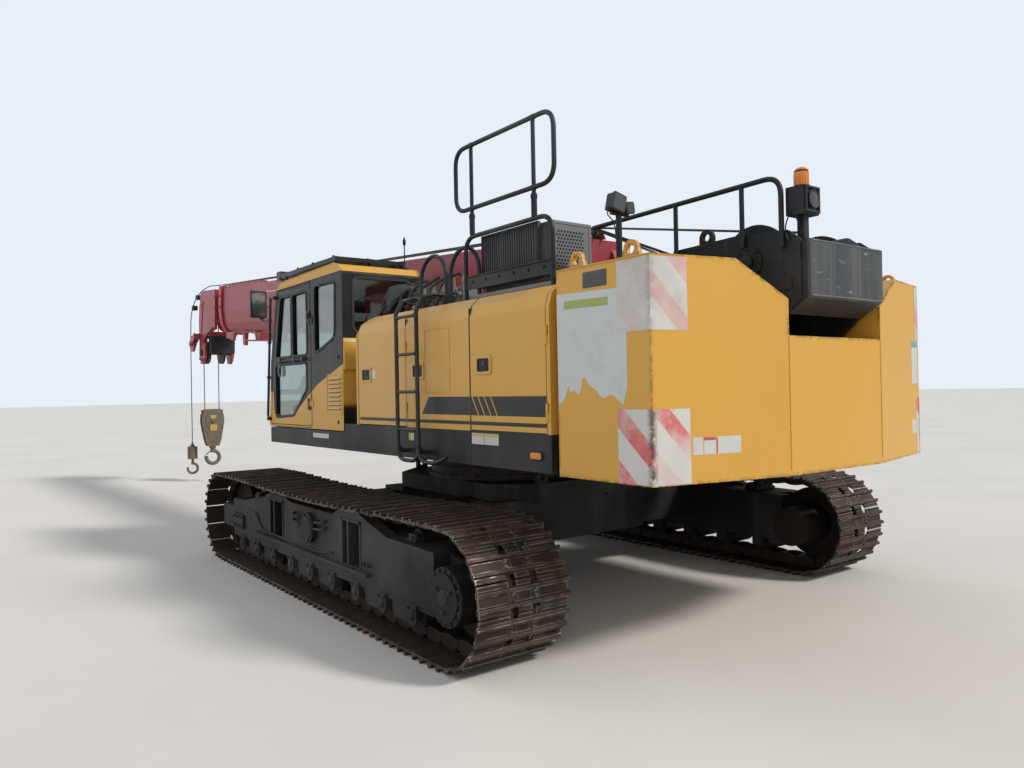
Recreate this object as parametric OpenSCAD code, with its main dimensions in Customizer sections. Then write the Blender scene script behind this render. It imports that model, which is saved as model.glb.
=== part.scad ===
// Telescopic boom crawler crane, parked with the boom down and the tracks at full gauge.
// Millimetres. +X points to the front, +Y to the left, +Z up. The origin is at the bottom
// centre of the bounding box, and slew_x places the slewing axis in that frame.

/* [Undercarriage] */
// Width of a track shoe
shoe_w = 700; // [600:10:760]
// Overall width over the two tracks at full gauge
span_w = 4440; // [4300:10:4600]
// Distance between the end axles of a track
axle_span = 4400; // [4300:10:4600]
// Height of the end axles, which is the radius to the lugs' tips
belt_r = 450; // [435:5:470]
// Thickness of the belt from the lugs' tips to the chain's inner face
belt_t = 130; // [110:5:140]
// Height of a lug above its shoe
lug_h = 26; // [16:2:34]
// Number of shoes in a track
shoe_count = 58; // [50:2:60]
// Sag of the upper run of the track between two supports
sag = 34; // [10:2:50]
// Width of the side frame across the track
frame_w = 440; // [400:10:460]
// Distance between the two gauge beams
beam_gap = 1550; // [1500:10:1600]
// Length of a gauge beam along the track
beam_l = 290; // [260:10:310]
// Height of a gauge beam
beam_h = 330; // [300:10:350]
// How far each side frame moves in for transport
gauge_travel = 600; // [400:10:600]
// Radius of a bottom roller
roller_r = 95; // [85:5:100]
// Number of bottom rollers
roller_count = 9; // [7:1:9]
// Outer radius of the slewing ring
ring_r = 780; // [740:10:800]

/* [Upper] */
// Width over the hood side panels
upper_w = 3000; // [2900:10:3100]
// Height of the underside of the upper
deck_z = 1170; // [1160:5:1200]
// Height of the hood roof
hood_z = 2390; // [2300:10:2450]
// Height of the join between skirt and hood panels
skirt_z = 1420; // [1400:5:1450]
// Thickness of a hood panel
panel_t = 40; // [30:2:44]
// Radius of the hood's front top corner
corner_r = 240; // [200:10:280]
// Distance from the slewing axis back to the hood's rear end
hood_rear = 2450; // [2400:10:2460]
// Distance from the slewing axis forward to the left hood's front end
hood_front = 320; // [280:10:340]
// Distance from the slewing axis forward to the right hood's front end
right_front = 1250; // [1150:10:1300]
// Half the width of the well for the boom between the hoods
well_y = 620; // [600:10:640]
// Running gap round each door
door_gap = 8; // [7:1:10]

/* [Cab] */
// Distance from the slewing axis to the cab's rear wall
cab_rear = 600; // [580:10:620]
// Length of the cab at its floor
cab_l = 1960; // [1900:10:2000]
// Width of the cab
cab_w = 860; // [840:10:870]
// Height of the cab roof
cab_z = 2960; // [2900:10:3000]
// Height of the cab's lower edge
cab_low = 1350; // [1340:5:1380]
// Thickness of the cab's walls and door
wall_t = 50; // [40:2:56]
// Thickness of a pane
pane_t = 6; // [5:1:8]

/* [Counterweight] */
// Height of the counterweight's underside
weight_low = 1162; // [1150:2:1180]
// Height of the counterweight's top
weight_top = 2455; // [2400:5:2500]
// Distance from the slewing axis to the middle of the rear face
weight_rear = 3536; // [3500:2:3560]
// Distance from the slewing axis back to the front face
weight_front = 2529; // [2510:1:2540]
// Half the width of the notch for the winches
notch_y = 530; // [520:5:560]
// Height of the floor of the notch
notch_z = 2009; // [2000:1:2030]

/* [Boom] */
// Angle of the boom above level when it is stored
boom_rest = 3.8; // [3:0.1:5]
// Height of the boom foot pin
foot_z = 2300; // [2280:5:2320]
// Distance from the slewing axis back to the boom foot pin
foot_x = 1500; // [1460:10:1540]
// Width of the base section
boom_w = 560; // [540:5:570]
// Height of the base section
boom_h = 800; // [780:5:810]
// Distance along the boom from the foot pin to the end of the base section
base_l = 9860; // [9700:10:10000]
// Step in size from one section to the next, on each side
section_step = 42; // [38:1:46]
// Wall of a boom section
section_t = 12; // [8:1:16]
// Distance from the rear of the head plates to the head sheave axle
head_reach = 840; // [800:10:900]
// Radius of a head sheave
sheave_r = 210; // [190:5:220]

/* [Hidden] */

// Gap between a moving piece and its seat
run_gap = 0.3;
// Facets of a drawn curve
smooth = 48;

// Places along the boom from the foot pin: the collars, the head plates and the head axle
collar_l = 130;
collar_t = 34;
stage = collar_l + 30;
head_s = base_l + 2 * stage + 30;
head_l = head_s + head_reach;

// Reach of the whole crane from the slewing axis, and so the place of that axis
aux_r = 150;
aux_s = head_l + 330;
aux_v = -330;
rope_r = 8;
ball_r = 92;
box_rear = weight_rear + 84;
tip_x = -foot_x + aux_s * cos(boom_rest) - aux_v * sin(boom_rest) + aux_r + ball_r;
slew_x = -(tip_x - box_rear) / 2;

// Undercarriage places
track_y = span_w / 2 - shoe_w / 2;
half_span = axle_span / 2;
shoe_r = belt_r - lug_h;
chain_r = belt_r - belt_t;
loop_l = 2 * axle_span + 2 * PI * shoe_r;
pitch = loop_l / shoe_count;
beam_low = 400;
gauge_z = 560;
gauge_in = 700;
sleeve_wall = 30;
sleeve_y = 890;
beam_in = 620;
frame_out = track_y + frame_w / 2 + 10;
frame_in = frame_out - frame_w;
plate_t = 45;
hub_y = track_y + 60;
hub_t = 40;
carrier_at = [620 - half_span, half_span - 740];
carrier_r = 70;
roller_z = belt_t + roller_r + run_gap;
roller_x = 500 - half_span;
roller_step = -2 * roller_x / (roller_count - 1);
car_top = 900;
ring_h = 100;
lug_x = 1010;
lug_y = 420;
lug_z = 950;
lug_r = 60;

// Upper places
side_y = upper_w / 2;
deck_t = 70;
deck_top = deck_z + deck_t;
front_x = cab_rear + cab_l;
seam_front = -600;
seam_rear = -1529;
hinge_r = 10;
hinge_y = side_y + 2;
hinge_z = [1560, 2060];
knuckle_h = 60;
post_t = 34;
door_sweep = door_gap + 10;
door_low = skirt_z + door_gap;
door_top = hood_z;
skirt_t = 60;
roof_t = 40;
roof_edge = side_y - 90 - panel_t - 14;
cheek_y = boom_w / 2 + 30;
cheek_t = 60;
pin_r = 60;

// Luffing cylinder places, from the slewing axis
cyl_x = -250;
cyl_z = 1560;
eye_s = 4000;
eye_v = -380;
barrel_r = 140;
rod_r = 95;

// Boom places, along and across the boom from the foot pin
root_s = 250;
boom_top = 692;
boom_low = boom_top - boom_h;
sheave_v = -500;

// Hook places
hook_y = 40;
block_sheave_r = 130;
fall_gap = block_sheave_r + rope_r + run_gap;
block_wide = 215;
fly_y = hook_y + block_wide + ball_r + 8;
block_top = 1430;
block_low = 700;

// Winch places, from the slewing axis
drum_x = -3190;
drum_z = 2500;
drum_r = 250;
front_drum_x = -2740;
front_drum_z = 2290;
front_drum_r = 180;
winch_y = 420;
winch_t = 24;

module upper() translate([slew_x, 0, 0]) children();
module along_x(x0, x1) translate([x0, 0, 0]) rotate([90, 0, 90]) linear_extrude(x1 - x0) children();
module along_y(y0, y1) translate([0, y1, 0]) rotate([90, 0, 0]) linear_extrude(y1 - y0) children();
module block(x0, x1, y0, y1, z0, z1) translate([x0, y0, z0]) cube([x1 - x0, y1 - y0, z1 - z0]);
module rod_y(x, y0, y1, z, r) translate([x, y1, z]) rotate([90, 0, 0])
    cylinder(h = y1 - y0, r = r, $fn = smooth);
module rod_z(x, y, z0, z1, r) translate([x, y, z0]) cylinder(h = z1 - z0, r = r, $fn = smooth);
module rod_x(x0, x1, y, z, r) translate([x0, y, z]) rotate([0, 90, 0])
    cylinder(h = x1 - x0, r = r, $fn = smooth);
module on_side(side) if (side > 0) children(); else mirror([0, 1, 0]) children();
// A place along the boom, with the foot pin at the origin
module boom_frame() upper() translate([-foot_x, 0, foot_z]) rotate([0, -boom_rest, 0]) children();

// Undercarriage

module carbody() color("#26282b") upper() {
    difference() {
        union() {
            for (x = [-1, 1]) {
                block(x * beam_gap / 2 - beam_l / 2 - sleeve_wall,
                    x * beam_gap / 2 + beam_l / 2 + sleeve_wall,
                    -sleeve_y, sleeve_y, beam_low - sleeve_wall, beam_low + beam_h + sleeve_wall);
            }
            block(-beam_gap / 2, beam_gap / 2, -640, 640, beam_low, car_top - 60);
            stiff_top(car_top - 150, car_top - 2);
            rod_z(0, 0, car_top - 60, car_top, ring_r + 30);
            for (side = [-1, 1]) on_side(side) rod_y(0, 560, 880, gauge_z, 78);
        }
        for (x = [-1, 1]) {
            block(x * beam_gap / 2 - beam_l / 2 - run_gap, x * beam_gap / 2 + beam_l / 2 + run_gap,
                -span_w, span_w, beam_low - run_gap, beam_low + beam_h + run_gap);
        }
        for (side = [-1, 1]) on_side(side) rod_y(0, gauge_in - gauge_travel - 20, 900, gauge_z,
            50 + run_gap);
        rod_z(0, 0, beam_low - 1, car_top + 1, 260);
    }
    // lifting lugs at the front and rear of the body
    for (x = [-1, 1]) for (y = [-1, 1]) translate([x * lug_x, y * lug_y, 0]) difference() {
        union() {
            block(-20, 20, -lug_r, lug_r, beam_low + beam_h, lug_z);
            rod_x(-20, 20, 0, lug_z, lug_r);
        }
        rod_x(-30, 30, 0, lug_z, 28);
    }
}

// The stiffened top of the body under the ring
module stiff_top(z0, z1) translate([0, 0, z0]) linear_extrude(z1 - z0)
    polygon([[-1050, -480], [-760, -800], [760, -800], [1050, -480],
        [1050, 480], [760, 800], [-760, 800], [-1050, 480]]);

module slew_ring() color("#3a3a3a") upper() difference() {
    union() {
        rod_z(0, 0, car_top, car_top + ring_h, ring_r);
        rod_z(0, 0, car_top, car_top + 30, ring_r + 25);
    }
    rod_z(0, 0, car_top - 1, car_top + ring_h + 1, ring_r - 130);
}

// Height of the upper run's shoe face at a place x, which sags between its supports
stops = [-half_span, carrier_at[0], carrier_at[1], half_span];
function stretch(x) = x < stops[1] ? 0 : x < stops[2] ? 1 : 2;
function share(x) = let (i = stretch(x)) (x - stops[i]) / (stops[i + 1] - stops[i]);
function droop(x) = stretch(x) == 1 ? sag * (1 - pow(2 * share(x) - 1, 2)) : 0;
// A point of the loop at a distance s along it, r out from the axles: [x, z, angle of the outward normal]
function loop_at(s, r) =
    s < axle_span ? [-half_span + s, belt_r - r, -90] :
    s < axle_span + PI * shoe_r ? let (a = -90 + (s - axle_span) / shoe_r * 180 / PI)
        [half_span + r * cos(a), belt_r + r * sin(a), a] :
    s < 2 * axle_span + PI * shoe_r ? let (x = half_span - (s - axle_span - PI * shoe_r))
        [x, belt_r + r - droop(x), 90] :
    let (a = 90 + (s - 2 * axle_span - PI * shoe_r) / shoe_r * 180 / PI)
        [-half_span + r * cos(a), belt_r + r * sin(a), a];
// The outline of one shoe, from its rear edge: [share of the pitch, 1 at a lug's tip or 0 on the shoe]
shoe_marks = [[0.04, 0], [0.08, 1], [0.2, 1], [0.24, 0], [0.5, 0], [0.54, 1], [0.66, 1], [0.7, 0]];
function shoe_outline() = [for (i = [0 : shoe_count - 1]) for (m = shoe_marks)
    let (p = loop_at((i + m[0]) * pitch, shoe_r + m[1] * lug_h)) [p[0], p[1]]];
// The same loop in few points, r out from the axles: round both ends and along the sagging top
arc_steps = 12;
top_steps = 10;
function inner_outline(r) = concat(
    [for (i = [0 : arc_steps]) let (a = -90 + i * 180 / arc_steps) [half_span + r * cos(a),
        belt_r + r * sin(a)]],
    [for (i = [0 : top_steps]) let (x = stops[2] - i * (stops[2] - stops[1]) / top_steps)
        [x, belt_r + r - droop(x)]],
    [for (i = [0 : arc_steps]) let (a = 90 + i * 180 / arc_steps) [-half_span + r * cos(a),
        belt_r + r * sin(a)]]);
// Radius of a wheel that fills the end of the loop
end_r = chain_r * cos(90 / arc_steps) - run_gap;

module track(side) on_side(side) upper() {
    // the shoes
    along_y(track_y - shoe_w / 2, track_y + shoe_w / 2) difference() {
        polygon(shoe_outline());
        polygon(inner_outline(shoe_r - 24));
    }
    // the chain inside them
    for (y = [-1, 1]) along_y(track_y + y * 85 - 35, track_y + y * 85 + 35) difference() {
        polygon(inner_outline(shoe_r - 10));
        polygon(inner_outline(chain_r));
    }
}
module track_left() color("#3b332c") track(1);
module track_right() color("#3b332c") track(-1);

// The side frame's outline: [x, z]
frame_rear = 230 - half_span;
frame_front = half_span - 210;
yoke_front = half_span + 130;
frame_outline = [[frame_rear, 270], [frame_rear, 680], [-1340, 690], [-1070, 760], [-900, 810], [-570, 810],
    [-440, 755], [440, 755], [560, 785], [980, 785], [1080, 745], [1620, 650], [frame_front, 640],
    [frame_front, 560], [yoke_front, 560], [yoke_front, 340], [frame_front, 340], [frame_front, 270]];

module side_frame(side) on_side(side) upper() {
    difference() {
        union() {
            along_y(frame_in, frame_out) polygon(frame_outline);
            // hub bracket at the rear
            along_y(hub_y, hub_y + hub_t) polygon([[frame_rear + 10, 290], [-half_span - 100, 330],
                [-half_span - 100, 570], [frame_rear + 10, 660]]);
            // round boss over the centre and the ledge below the openings
            rod_y(0, frame_out - 10, frame_out + 35, 590, 125);
            block(-1100, 1300, frame_out - 10, frame_out + 45, 372, 392);
            // clamps of the bottom rollers
            for (i = [0 : roller_count - 1]) for (y = [frame_in, frame_out - plate_t])
                block(roller_x + i * roller_step - 60, roller_x + i * roller_step + 60, y, y + plate_t,
                    190, 300);
            // carrier roller posts
            for (x = carrier_at) block(x - 45, x + 45, frame_out - 120, frame_out - 70, 600, 740);
        }
        // channel for the bottom rollers
        block(300 - half_span, half_span - 300, frame_in + plate_t, frame_out - plate_t, 100, 345);
        // pockets at the ends of the gauge beams
        for (x = [-1, 1]) block(x * beam_gap / 2 - beam_l / 2, x * beam_gap / 2 + beam_l / 2,
            frame_out - 200, frame_out + 60, beam_low, beam_low + beam_h);
        // yoke of the front idler
        block(frame_front - 40, yoke_front + 70, track_y - 130, track_y + 130, 200, 700);
        // room for the rims of idler and tumbler
        for (x = [frame_rear - 10, half_span - 340]) block(x, x + 120, track_y - 60, track_y + 60, 200,
            700);
        // channel under the upper run of the chain
        block(frame_rear + 20, frame_front + 10, track_y - 130, track_y + 130, 690, 900);
        // room over the frame for the carrier rollers
        for (x = carrier_at) block(x - carrier_r - 12, x + carrier_r + 12, track_y - 160,
            frame_out - 120, 610, 900);
    }
    // gauge beams and the rod of the gauge cylinder
    for (x = [-1, 1]) block(x * beam_gap / 2 - beam_l / 2, x * beam_gap / 2 + beam_l / 2,
        beam_in, frame_in, beam_low, beam_low + beam_h);
    rod_y(0, gauge_in, frame_in, gauge_z, 50);
}
module frame_left() color("#202225") side_frame(1);
module frame_right() color("#202225") side_frame(-1);

module rollers(side) on_side(side) upper() {
    // bottom rollers, each with two flanges
    for (i = [0 : roller_count - 1]) {
        x = roller_x + i * roller_step;
        rod_y(x, frame_in + plate_t + run_gap, frame_out - plate_t - run_gap, roller_z, roller_r);
    }
    // carrier rollers on their posts
    for (x = carrier_at) rod_y(x, track_y - 130, frame_out - 120 - run_gap,
        belt_r + chain_r - carrier_r - 0.8, carrier_r);
    // front idler with its axle in the yoke
    rod_y(half_span, track_y - 46, track_y + 46, belt_r, end_r);
    rod_y(half_span, track_y - 130 + run_gap, track_y + 130 - run_gap, belt_r, 80);
    // drive tumbler with the gearbox outside and the motor inside
    rod_y(-half_span, track_y - 46, track_y + 46, belt_r, end_r);
    rod_y(-half_span, hub_y + hub_t + run_gap, frame_out + 60, belt_r, 185);
    rod_y(-half_span, frame_out + 59, frame_out + 75, belt_r, 150);
    rod_y(-half_span, track_y - 440, hub_y - run_gap, belt_r, 170);
}
module rollers_left() color("#2b2623") rollers(1);
module rollers_right() color("#2b2623") rollers(-1);

// Upper frame

module turntable() color("#1f2124") upper() {
    difference() {
        union() {
            // ring flange and deck
            rod_z(0, 0, car_top + ring_h + run_gap, deck_z, ring_r - 20);
            block(-weight_front, front_x - 60, -side_y + skirt_t, side_y - skirt_t, deck_z, deck_top);
            // cheeks that carry the boom foot and the luffing cylinder
            for (side = [-1, 1]) on_side(side) along_y(cheek_y, cheek_y + cheek_t)
                polygon([[-weight_front, deck_z + 10], [-weight_front, 1700],
                    [-foot_x - 190, foot_z + 60], [-foot_x - 100, foot_z + 140],
                    [-foot_x + 100, foot_z + 140], [-foot_x + 190, foot_z + 20],
                    [-900, 1800], [700, 1700], [1100, deck_z + 10]]);
            // cross plates between the cheeks
            block(-weight_front, -weight_front + 40, -cheek_y - 1, cheek_y + 1, deck_top - 1, 1690);
            block(1040, 1080, -cheek_y - 1, cheek_y + 1, deck_top - 1, 1280);
        }
        rod_z(0, 0, car_top, deck_z - 30, ring_r - 160);
        rod_y(-foot_x, -side_y, side_y, foot_z, pin_r + run_gap);
        rod_y(cyl_x, -side_y, side_y, cyl_z, pin_r + run_gap);
    }
}

// Black skirt round the foot of the upper
module skirt() color("#1b1c1e") upper() {
    for (side = [-1, 1]) on_side(side) {
        top_front = side > 0 ? cab_low - 10 : skirt_z;
        end_x = side > 0 ? cab_rear - 20 : right_front;
        block(-hood_rear, end_x, side_y - skirt_t, side_y, deck_z, skirt_z);
        block(end_x, front_x - 40, side_y - skirt_t, side_y, deck_z, top_front);
    }
    block(front_x - 60, front_x - 20, -side_y + skirt_t, side_y - skirt_t, deck_z, cab_low - 10);
}

// A hood panel's section across the crane: [y, z], leaning in at the top
function hood_section(low, high, t) = [[side_y, low], [side_y, high - 150], [side_y - 26, high - 62],
    [side_y - 90, high], [side_y - 90 - t, high], [side_y - 26 - t, high - 62 - t / 2],
        [side_y - t, high - 160], [side_y - t, low]];

// Hinge knuckles on a vertical pin at x, y: the moving ones stand above the fixed ones
module moving_knuckles(x, y, low) for (z = low) rod_z(x, y, z, z + knuckle_h, hinge_r);
module fixed_knuckles(x, y, low) for (z = low) rod_z(x, y, z - knuckle_h, z - run_gap, hinge_r);
module moving_room(x, y, low) for (z = low) rod_z(x, y, z - run_gap, z + knuckle_h + 3, hinge_r + door_gap);
module fixed_room(x, y, low) for (z = low) rod_z(x, y, z - knuckle_h - 3, z, hinge_r + door_gap);

// A side door from its hinge at x0 to its front edge at x1
module hood_door(x0, x1) upper() difference() {
    union() {
        along_x(x0 + door_gap, x1) polygon(hood_section(door_low, door_top, panel_t));
        moving_knuckles(x0, hinge_y, hinge_z);
    }
    fixed_room(x0, hinge_y, hinge_z);
}
// What is cut from the front top corner of a hood that ends at x, to round it
module corner_cut(x) difference() {
    block(x - corner_r, x + 1, 0, side_y + 20, hood_z - corner_r, hood_z + 1);
    rod_y(x - corner_r, -1, side_y + 21, hood_z - corner_r, corner_r);
}

module hood_door_front_left() color("#c9983f") difference() {
    hood_door(seam_front, hood_front - post_t - door_sweep);
    upper() corner_cut(hood_front);
}
module hood_door_rear_left() color("#c9983f") hood_door(post_t - hood_rear, seam_rear - door_sweep);
module hood_door_front_right() color("#c9983f") mirror([0, 1, 0]) difference() {
    hood_door(seam_front, right_front - post_t - door_sweep);
    upper() corner_cut(right_front);
}
module hood_door_rear_right() color("#c9983f") mirror([0, 1, 0])
    hood_door(post_t - hood_rear, seam_rear - door_sweep);

module hood_frame() color("#c9983f") upper() for (side = [-1, 1]) on_side(side) difference() {
    end_x = side > 0 ? hood_front : right_front;
    union() {
        // fixed side panel between the doors, joined to the roof and the sill
        along_x(seam_rear, seam_front) polygon(hood_section(skirt_z, door_top, panel_t));
        block(seam_rear, seam_front, roof_edge - 1, side_y - 100, door_top - roof_t, door_top);
        block(seam_rear + 30, seam_front - 30, side_y - panel_t - 50, side_y - panel_t + 1, 1500, 1560);
        // end walls
        for (x = [-hood_rear, end_x - post_t]) along_x(x, x + post_t)
            polygon([[side_y, skirt_z], [side_y, door_top - 150], [side_y - 26, door_top - 62],
                [side_y - 90, door_top], [well_y, door_top], [well_y, deck_top],
                [side_y - 70, deck_top], [side_y - 70, skirt_z]]);
        // inner wall beside the boom, roof deck and sill behind the doors
        block(post_t - hood_rear - 1, end_x - post_t + 1, well_y, well_y + 30, deck_top, door_top);
        block(post_t - hood_rear - 1, end_x - post_t + 1, well_y, roof_edge, door_top - roof_t, door_top);
        block(post_t - hood_rear - 1, end_x - post_t + 1, side_y - 130, side_y - 70, deck_top,
            skirt_z + 20);
        // posts behind the doors' edges
        for (x = [post_t - hood_rear, seam_rear - 50, seam_front - 20, end_x - post_t - 60])
            block(x, x + 70, side_y - panel_t - 45, side_y - panel_t - run_gap, skirt_z, door_top - 170);
        for (x = [post_t - hood_rear, seam_front]) fixed_knuckles(x, hinge_y, hinge_z);
        // bent plate under the rounded front corner
        intersection() {
            rod_y(end_x - corner_r, well_y, roof_edge, hood_z - corner_r, corner_r + 1);
            block(end_x - corner_r - 1, end_x, 0, side_y, hood_z - corner_r - 1, hood_z);
            difference() {
                block(end_x - corner_r - 2, end_x + 1, well_y, roof_edge, hood_z - corner_r - 2,
                    hood_z + 1);
                rod_y(end_x - corner_r, well_y - 1, roof_edge + 1, hood_z - corner_r, corner_r - roof_t);
            }
        }
    }
    for (x = [post_t - hood_rear, seam_front]) moving_room(x, hinge_y, hinge_z);
    corner_cut(end_x);
}
module engine() color("#5a5d60") upper() block(-1500, -450, well_y + 120, side_y - 220, deck_top, 2050);

// Air intake box on the left roof: a black side panel and a pale perforated end
module radiator_box() color("#5f6466") upper() {
    block(-2215, -1410, side_y - 595, side_y - 250, roof_z, 2865);
    block(-2080, -1400, side_y - 251, side_y - 225, roof_z + 90, 2880);
}

// Counterweight and winches

corner_x = 215 - weight_rear;
module counterweight() color("#d9a54a") upper() {
    difference() {
        translate([0, 0, weight_low]) linear_extrude(weight_top - weight_low)
            polygon([[-weight_front, -side_y - 3], [corner_x, -side_y - 3], [-weight_rear, -notch_y - 1],
                [-weight_rear, notch_y + 1], [corner_x, side_y + 3], [-weight_front, side_y + 3]]);
        // notch for the winches, flared at its top
        along_x(-weight_rear - 10, -2500) polygon([[-notch_y, notch_z], [notch_y, notch_z], [notch_y, 2231],
            [920, weight_top + 1], [-920, weight_top + 1], [-notch_y, 2231]]);
    }
    // lifting eyes on the top
    for (y = [-1, 1]) for (x = [-2665, -3130]) translate([x, y * (side_y - 60), weight_top]) difference() {
        along_y(-15, 15) union() {
            polygon([[-80, -5], [80, -5], [50, 66], [-50, 66]]);
            translate([0, 54]) circle(r = 54, $fn = smooth);
        }
        rod_y(0, -20, 20, 54, 31);
    }
}

// The rear guard's outline at a distance t inside it, with its front face moved forward by a
function guard_outline(t, a) = [[t - box_rear, 2250 + t], [t - box_rear, 2590 - t], [a - 3460, 2590 - t],
    [a - 3460, 2150 + 1.6 * t]];
module winch_frame() color("#191a1c") upper() {
    // cheeks, with bearings for the two drums
    for (y = [-1, 1]) difference() {
        along_y(y * winch_y - winch_t / 2, y * winch_y + winch_t / 2)
            polygon([[-weight_front, notch_z], [-weight_front, 2560], [-2560, 2670], [-3080, 2690],
                [-3470, 2668], [-3560, 2600], [-3560, 2240], [-3300, notch_z]]);
        rod_y(drum_x, -side_y, side_y, drum_z, 70 + run_gap);
        rod_y(front_drum_x, -side_y, side_y, front_drum_z, 60 + run_gap);
    }
    // floor plate and front cross tube
    block(-3280, -weight_front, -winch_y, winch_y, notch_z, notch_z + 22);
    block(-weight_front - 18, -weight_front, -winch_y, winch_y, notch_z + 20, 2200);
    // weathered guard across the rear, open to the drum
    difference() {
        along_y(-winch_y, winch_y) polygon(guard_outline(0, 0));
        along_y(winch_t - winch_y, winch_y - winch_t) polygon(guard_outline(12, 1));
    }
    // lifting eye on the left cheek
    difference() {
        union() {
            block(-2910, -2790, winch_y - 12, winch_y + 12, 2640, 2720);
            rod_y(-2850, winch_y - 12, winch_y + 12, 2715, 60);
        }
        rod_y(-2850, winch_y - 20, winch_y + 20, 2720, 26);
    }
}

module drum(x, z, flange_r, core_r, shaft_r) upper() {
    rod_y(x, -winch_y - 30, winch_y + 30, z, shaft_r);
    rod_y(x, -360, 360, z, core_r);
    for (y = [-1, 1]) rod_y(x, y * 360 - 14, y * 360 + 14, z, flange_r);
}
module main_drum() color("#2a2a2c") drum(drum_x, drum_z, drum_r, 160, 70);
module aux_drum() color("#2a2a2c") drum(front_drum_x, front_drum_z, front_drum_r, 120, 60);

// Cab

cab_in = side_y - cab_w;
roof_x = front_x - 260;
knee_z = 2080;
// Ends of the straight stretch of the roof: [x, z]
roof_0 = [cab_rear + 170, cab_z];
roof_1 = [roof_x - 140, cab_z - 30];
// Front of the cab at a height z
function face_x(z) = z > knee_z ? roof_x + (front_x - 70 - roof_x) * (2870 - z) / (2870 - knee_z)
    : front_x - 70 * (z - cab_low) / (knee_z - cab_low);
// Outline of the cab's side at a distance t inside its skin: [x, z]
function cab_outline(t) = [[cab_rear + t, cab_low + t], [cab_rear + t, cab_z - 110 - t / 2],
    [cab_rear + 70 + t / 2, cab_z - 25 - t],
    [roof_0[0], roof_0[1] - t], [roof_1[0], roof_1[1] - t], [roof_x - t, 2870 - t / 2],
    [face_x(knee_z) - t, knee_z], [front_x - t, cab_low + t]];
door_x = cab_rear + 760;
door_head = cab_z - 100;
door_sill = cab_low + 24;
pillar = 64;
// The cab door's outline at a distance t inside its opening
function door_outline(t) = [[door_x + t, door_sill + t], [door_x + t, door_head - t],
    [face_x(door_head) - pillar - t, door_head - t],
    [face_x(knee_z) - pillar - t, knee_z], [face_x(door_sill) - pillar - t, door_sill + t]];
quarter = [[door_x - 110, cab_z - 160], [cab_rear + 150, cab_z - 170], [cab_rear + 180, 2245],
    [door_x - 110, 2110]];
side_panes = [[cab_rear + 160, 2790], [face_x(2790) - 130, 2790], [face_x(2110) - 130, 2110],
    [cab_rear + 160, 2110]];
door_panes = [
    [[door_x + 90, 2110], [door_x + 90, 2770], [door_x + 470, 2770], [door_x + 470, 2110]],
    [[door_x + 510, 2110], [door_x + 510, 2770], [face_x(2770) - 150, 2770], [face_x(2110) - 150, 2110]],
    [[door_x + 110, 2030], [face_x(2030) - 150, 2030], [face_x(1450) - 200, 1450],
        [door_x + 470, 1480], [door_x + 110, 1760]]
];
front_panes = [[1470, 1700], [1760, 2790]];
cab_hinge_z = [1640, 2480];
cab_hinge_y = side_y + 6;
pane_y = side_y - wall_t / 2;

module cab_shell() color("#c9983f") upper() difference() {
    union() {
        difference() {
            along_y(cab_in, side_y) polygon(cab_outline(0));
            along_y(cab_in + wall_t, side_y - wall_t) polygon(cab_outline(wall_t));
            along_y(side_y - wall_t - 1, side_y + 1) polygon(door_outline(0));
            along_y(side_y - wall_t - 1, side_y + 1) polygon(quarter);
            along_y(cab_in - 1, cab_in + wall_t + 1) polygon(side_panes);
            block(cab_rear - 1, cab_rear + wall_t + 1, cab_in + 110, side_y - 110, 2290, 2820);
            for (z = front_panes) block(roof_x - 200, front_x + 10, cab_in + 90, side_y - 90, z[0], z[1]);
        }
        fixed_knuckles(door_x, cab_hinge_y, cab_hinge_z);
        for (z = cab_hinge_z) block(door_x - 60, door_x, side_y - 1, side_y + 8, z - knuckle_h,
            z - run_gap);
        // feet on the deck
        for (x = [cab_rear + 100, front_x - 300]) block(x, x + 120, cab_in + 60, side_y - 110,
            deck_top, cab_low + 1);
    }
    moving_room(door_x, cab_hinge_y, cab_hinge_z);
}

// A front pane between two heights, bent at the knee: its front face up, then its rear face down
function pane_heights(z) = [z[0], if (z[0] < knee_z && z[1] > knee_z) knee_z, z[1]];
function pane_side(h, i, step, t) = (i < 0 || i >= len(h)) ? [] :
    concat([[face_x(h[i]) - t, h[i]]], pane_side(h, i + step, step, t));
module front_pane(z) let (h = pane_heights(z)) along_y(cab_in + 90, side_y - 90)
    polygon(concat(pane_side(h, 0, 1, 22), pane_side(h, len(h) - 1, -1, 22 + pane_t)));
module cab_glass() color("#9db4bd", 0.5) upper() {
    along_y(pane_y, pane_y + pane_t) polygon(quarter);
    along_y(cab_in + wall_t / 2, cab_in + wall_t / 2 + pane_t) polygon(side_panes);
    block(cab_rear + 22, cab_rear + 22 + pane_t, cab_in + 110, side_y - 110, 2290, 2820);
    for (z = front_panes) front_pane(z);
}
module cab_door() color("#1d1e20") upper() difference() {
    union() {
        difference() {
            along_y(side_y - wall_t, side_y) polygon(door_outline(door_gap));
            for (p = door_panes) along_y(side_y - wall_t - 1, side_y + 1) polygon(p);
        }
        moving_knuckles(door_x, cab_hinge_y, cab_hinge_z);
        for (z = cab_hinge_z) block(door_x, door_x + 60, side_y - 1, side_y + 8, z, z + knuckle_h);
    }
    fixed_room(door_x, cab_hinge_y, cab_hinge_z);
}
module door_glass() color("#9db4bd", 0.5) upper() for (p = door_panes) along_y(pane_y, pane_y + pane_t)
    polygon(p);

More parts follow.
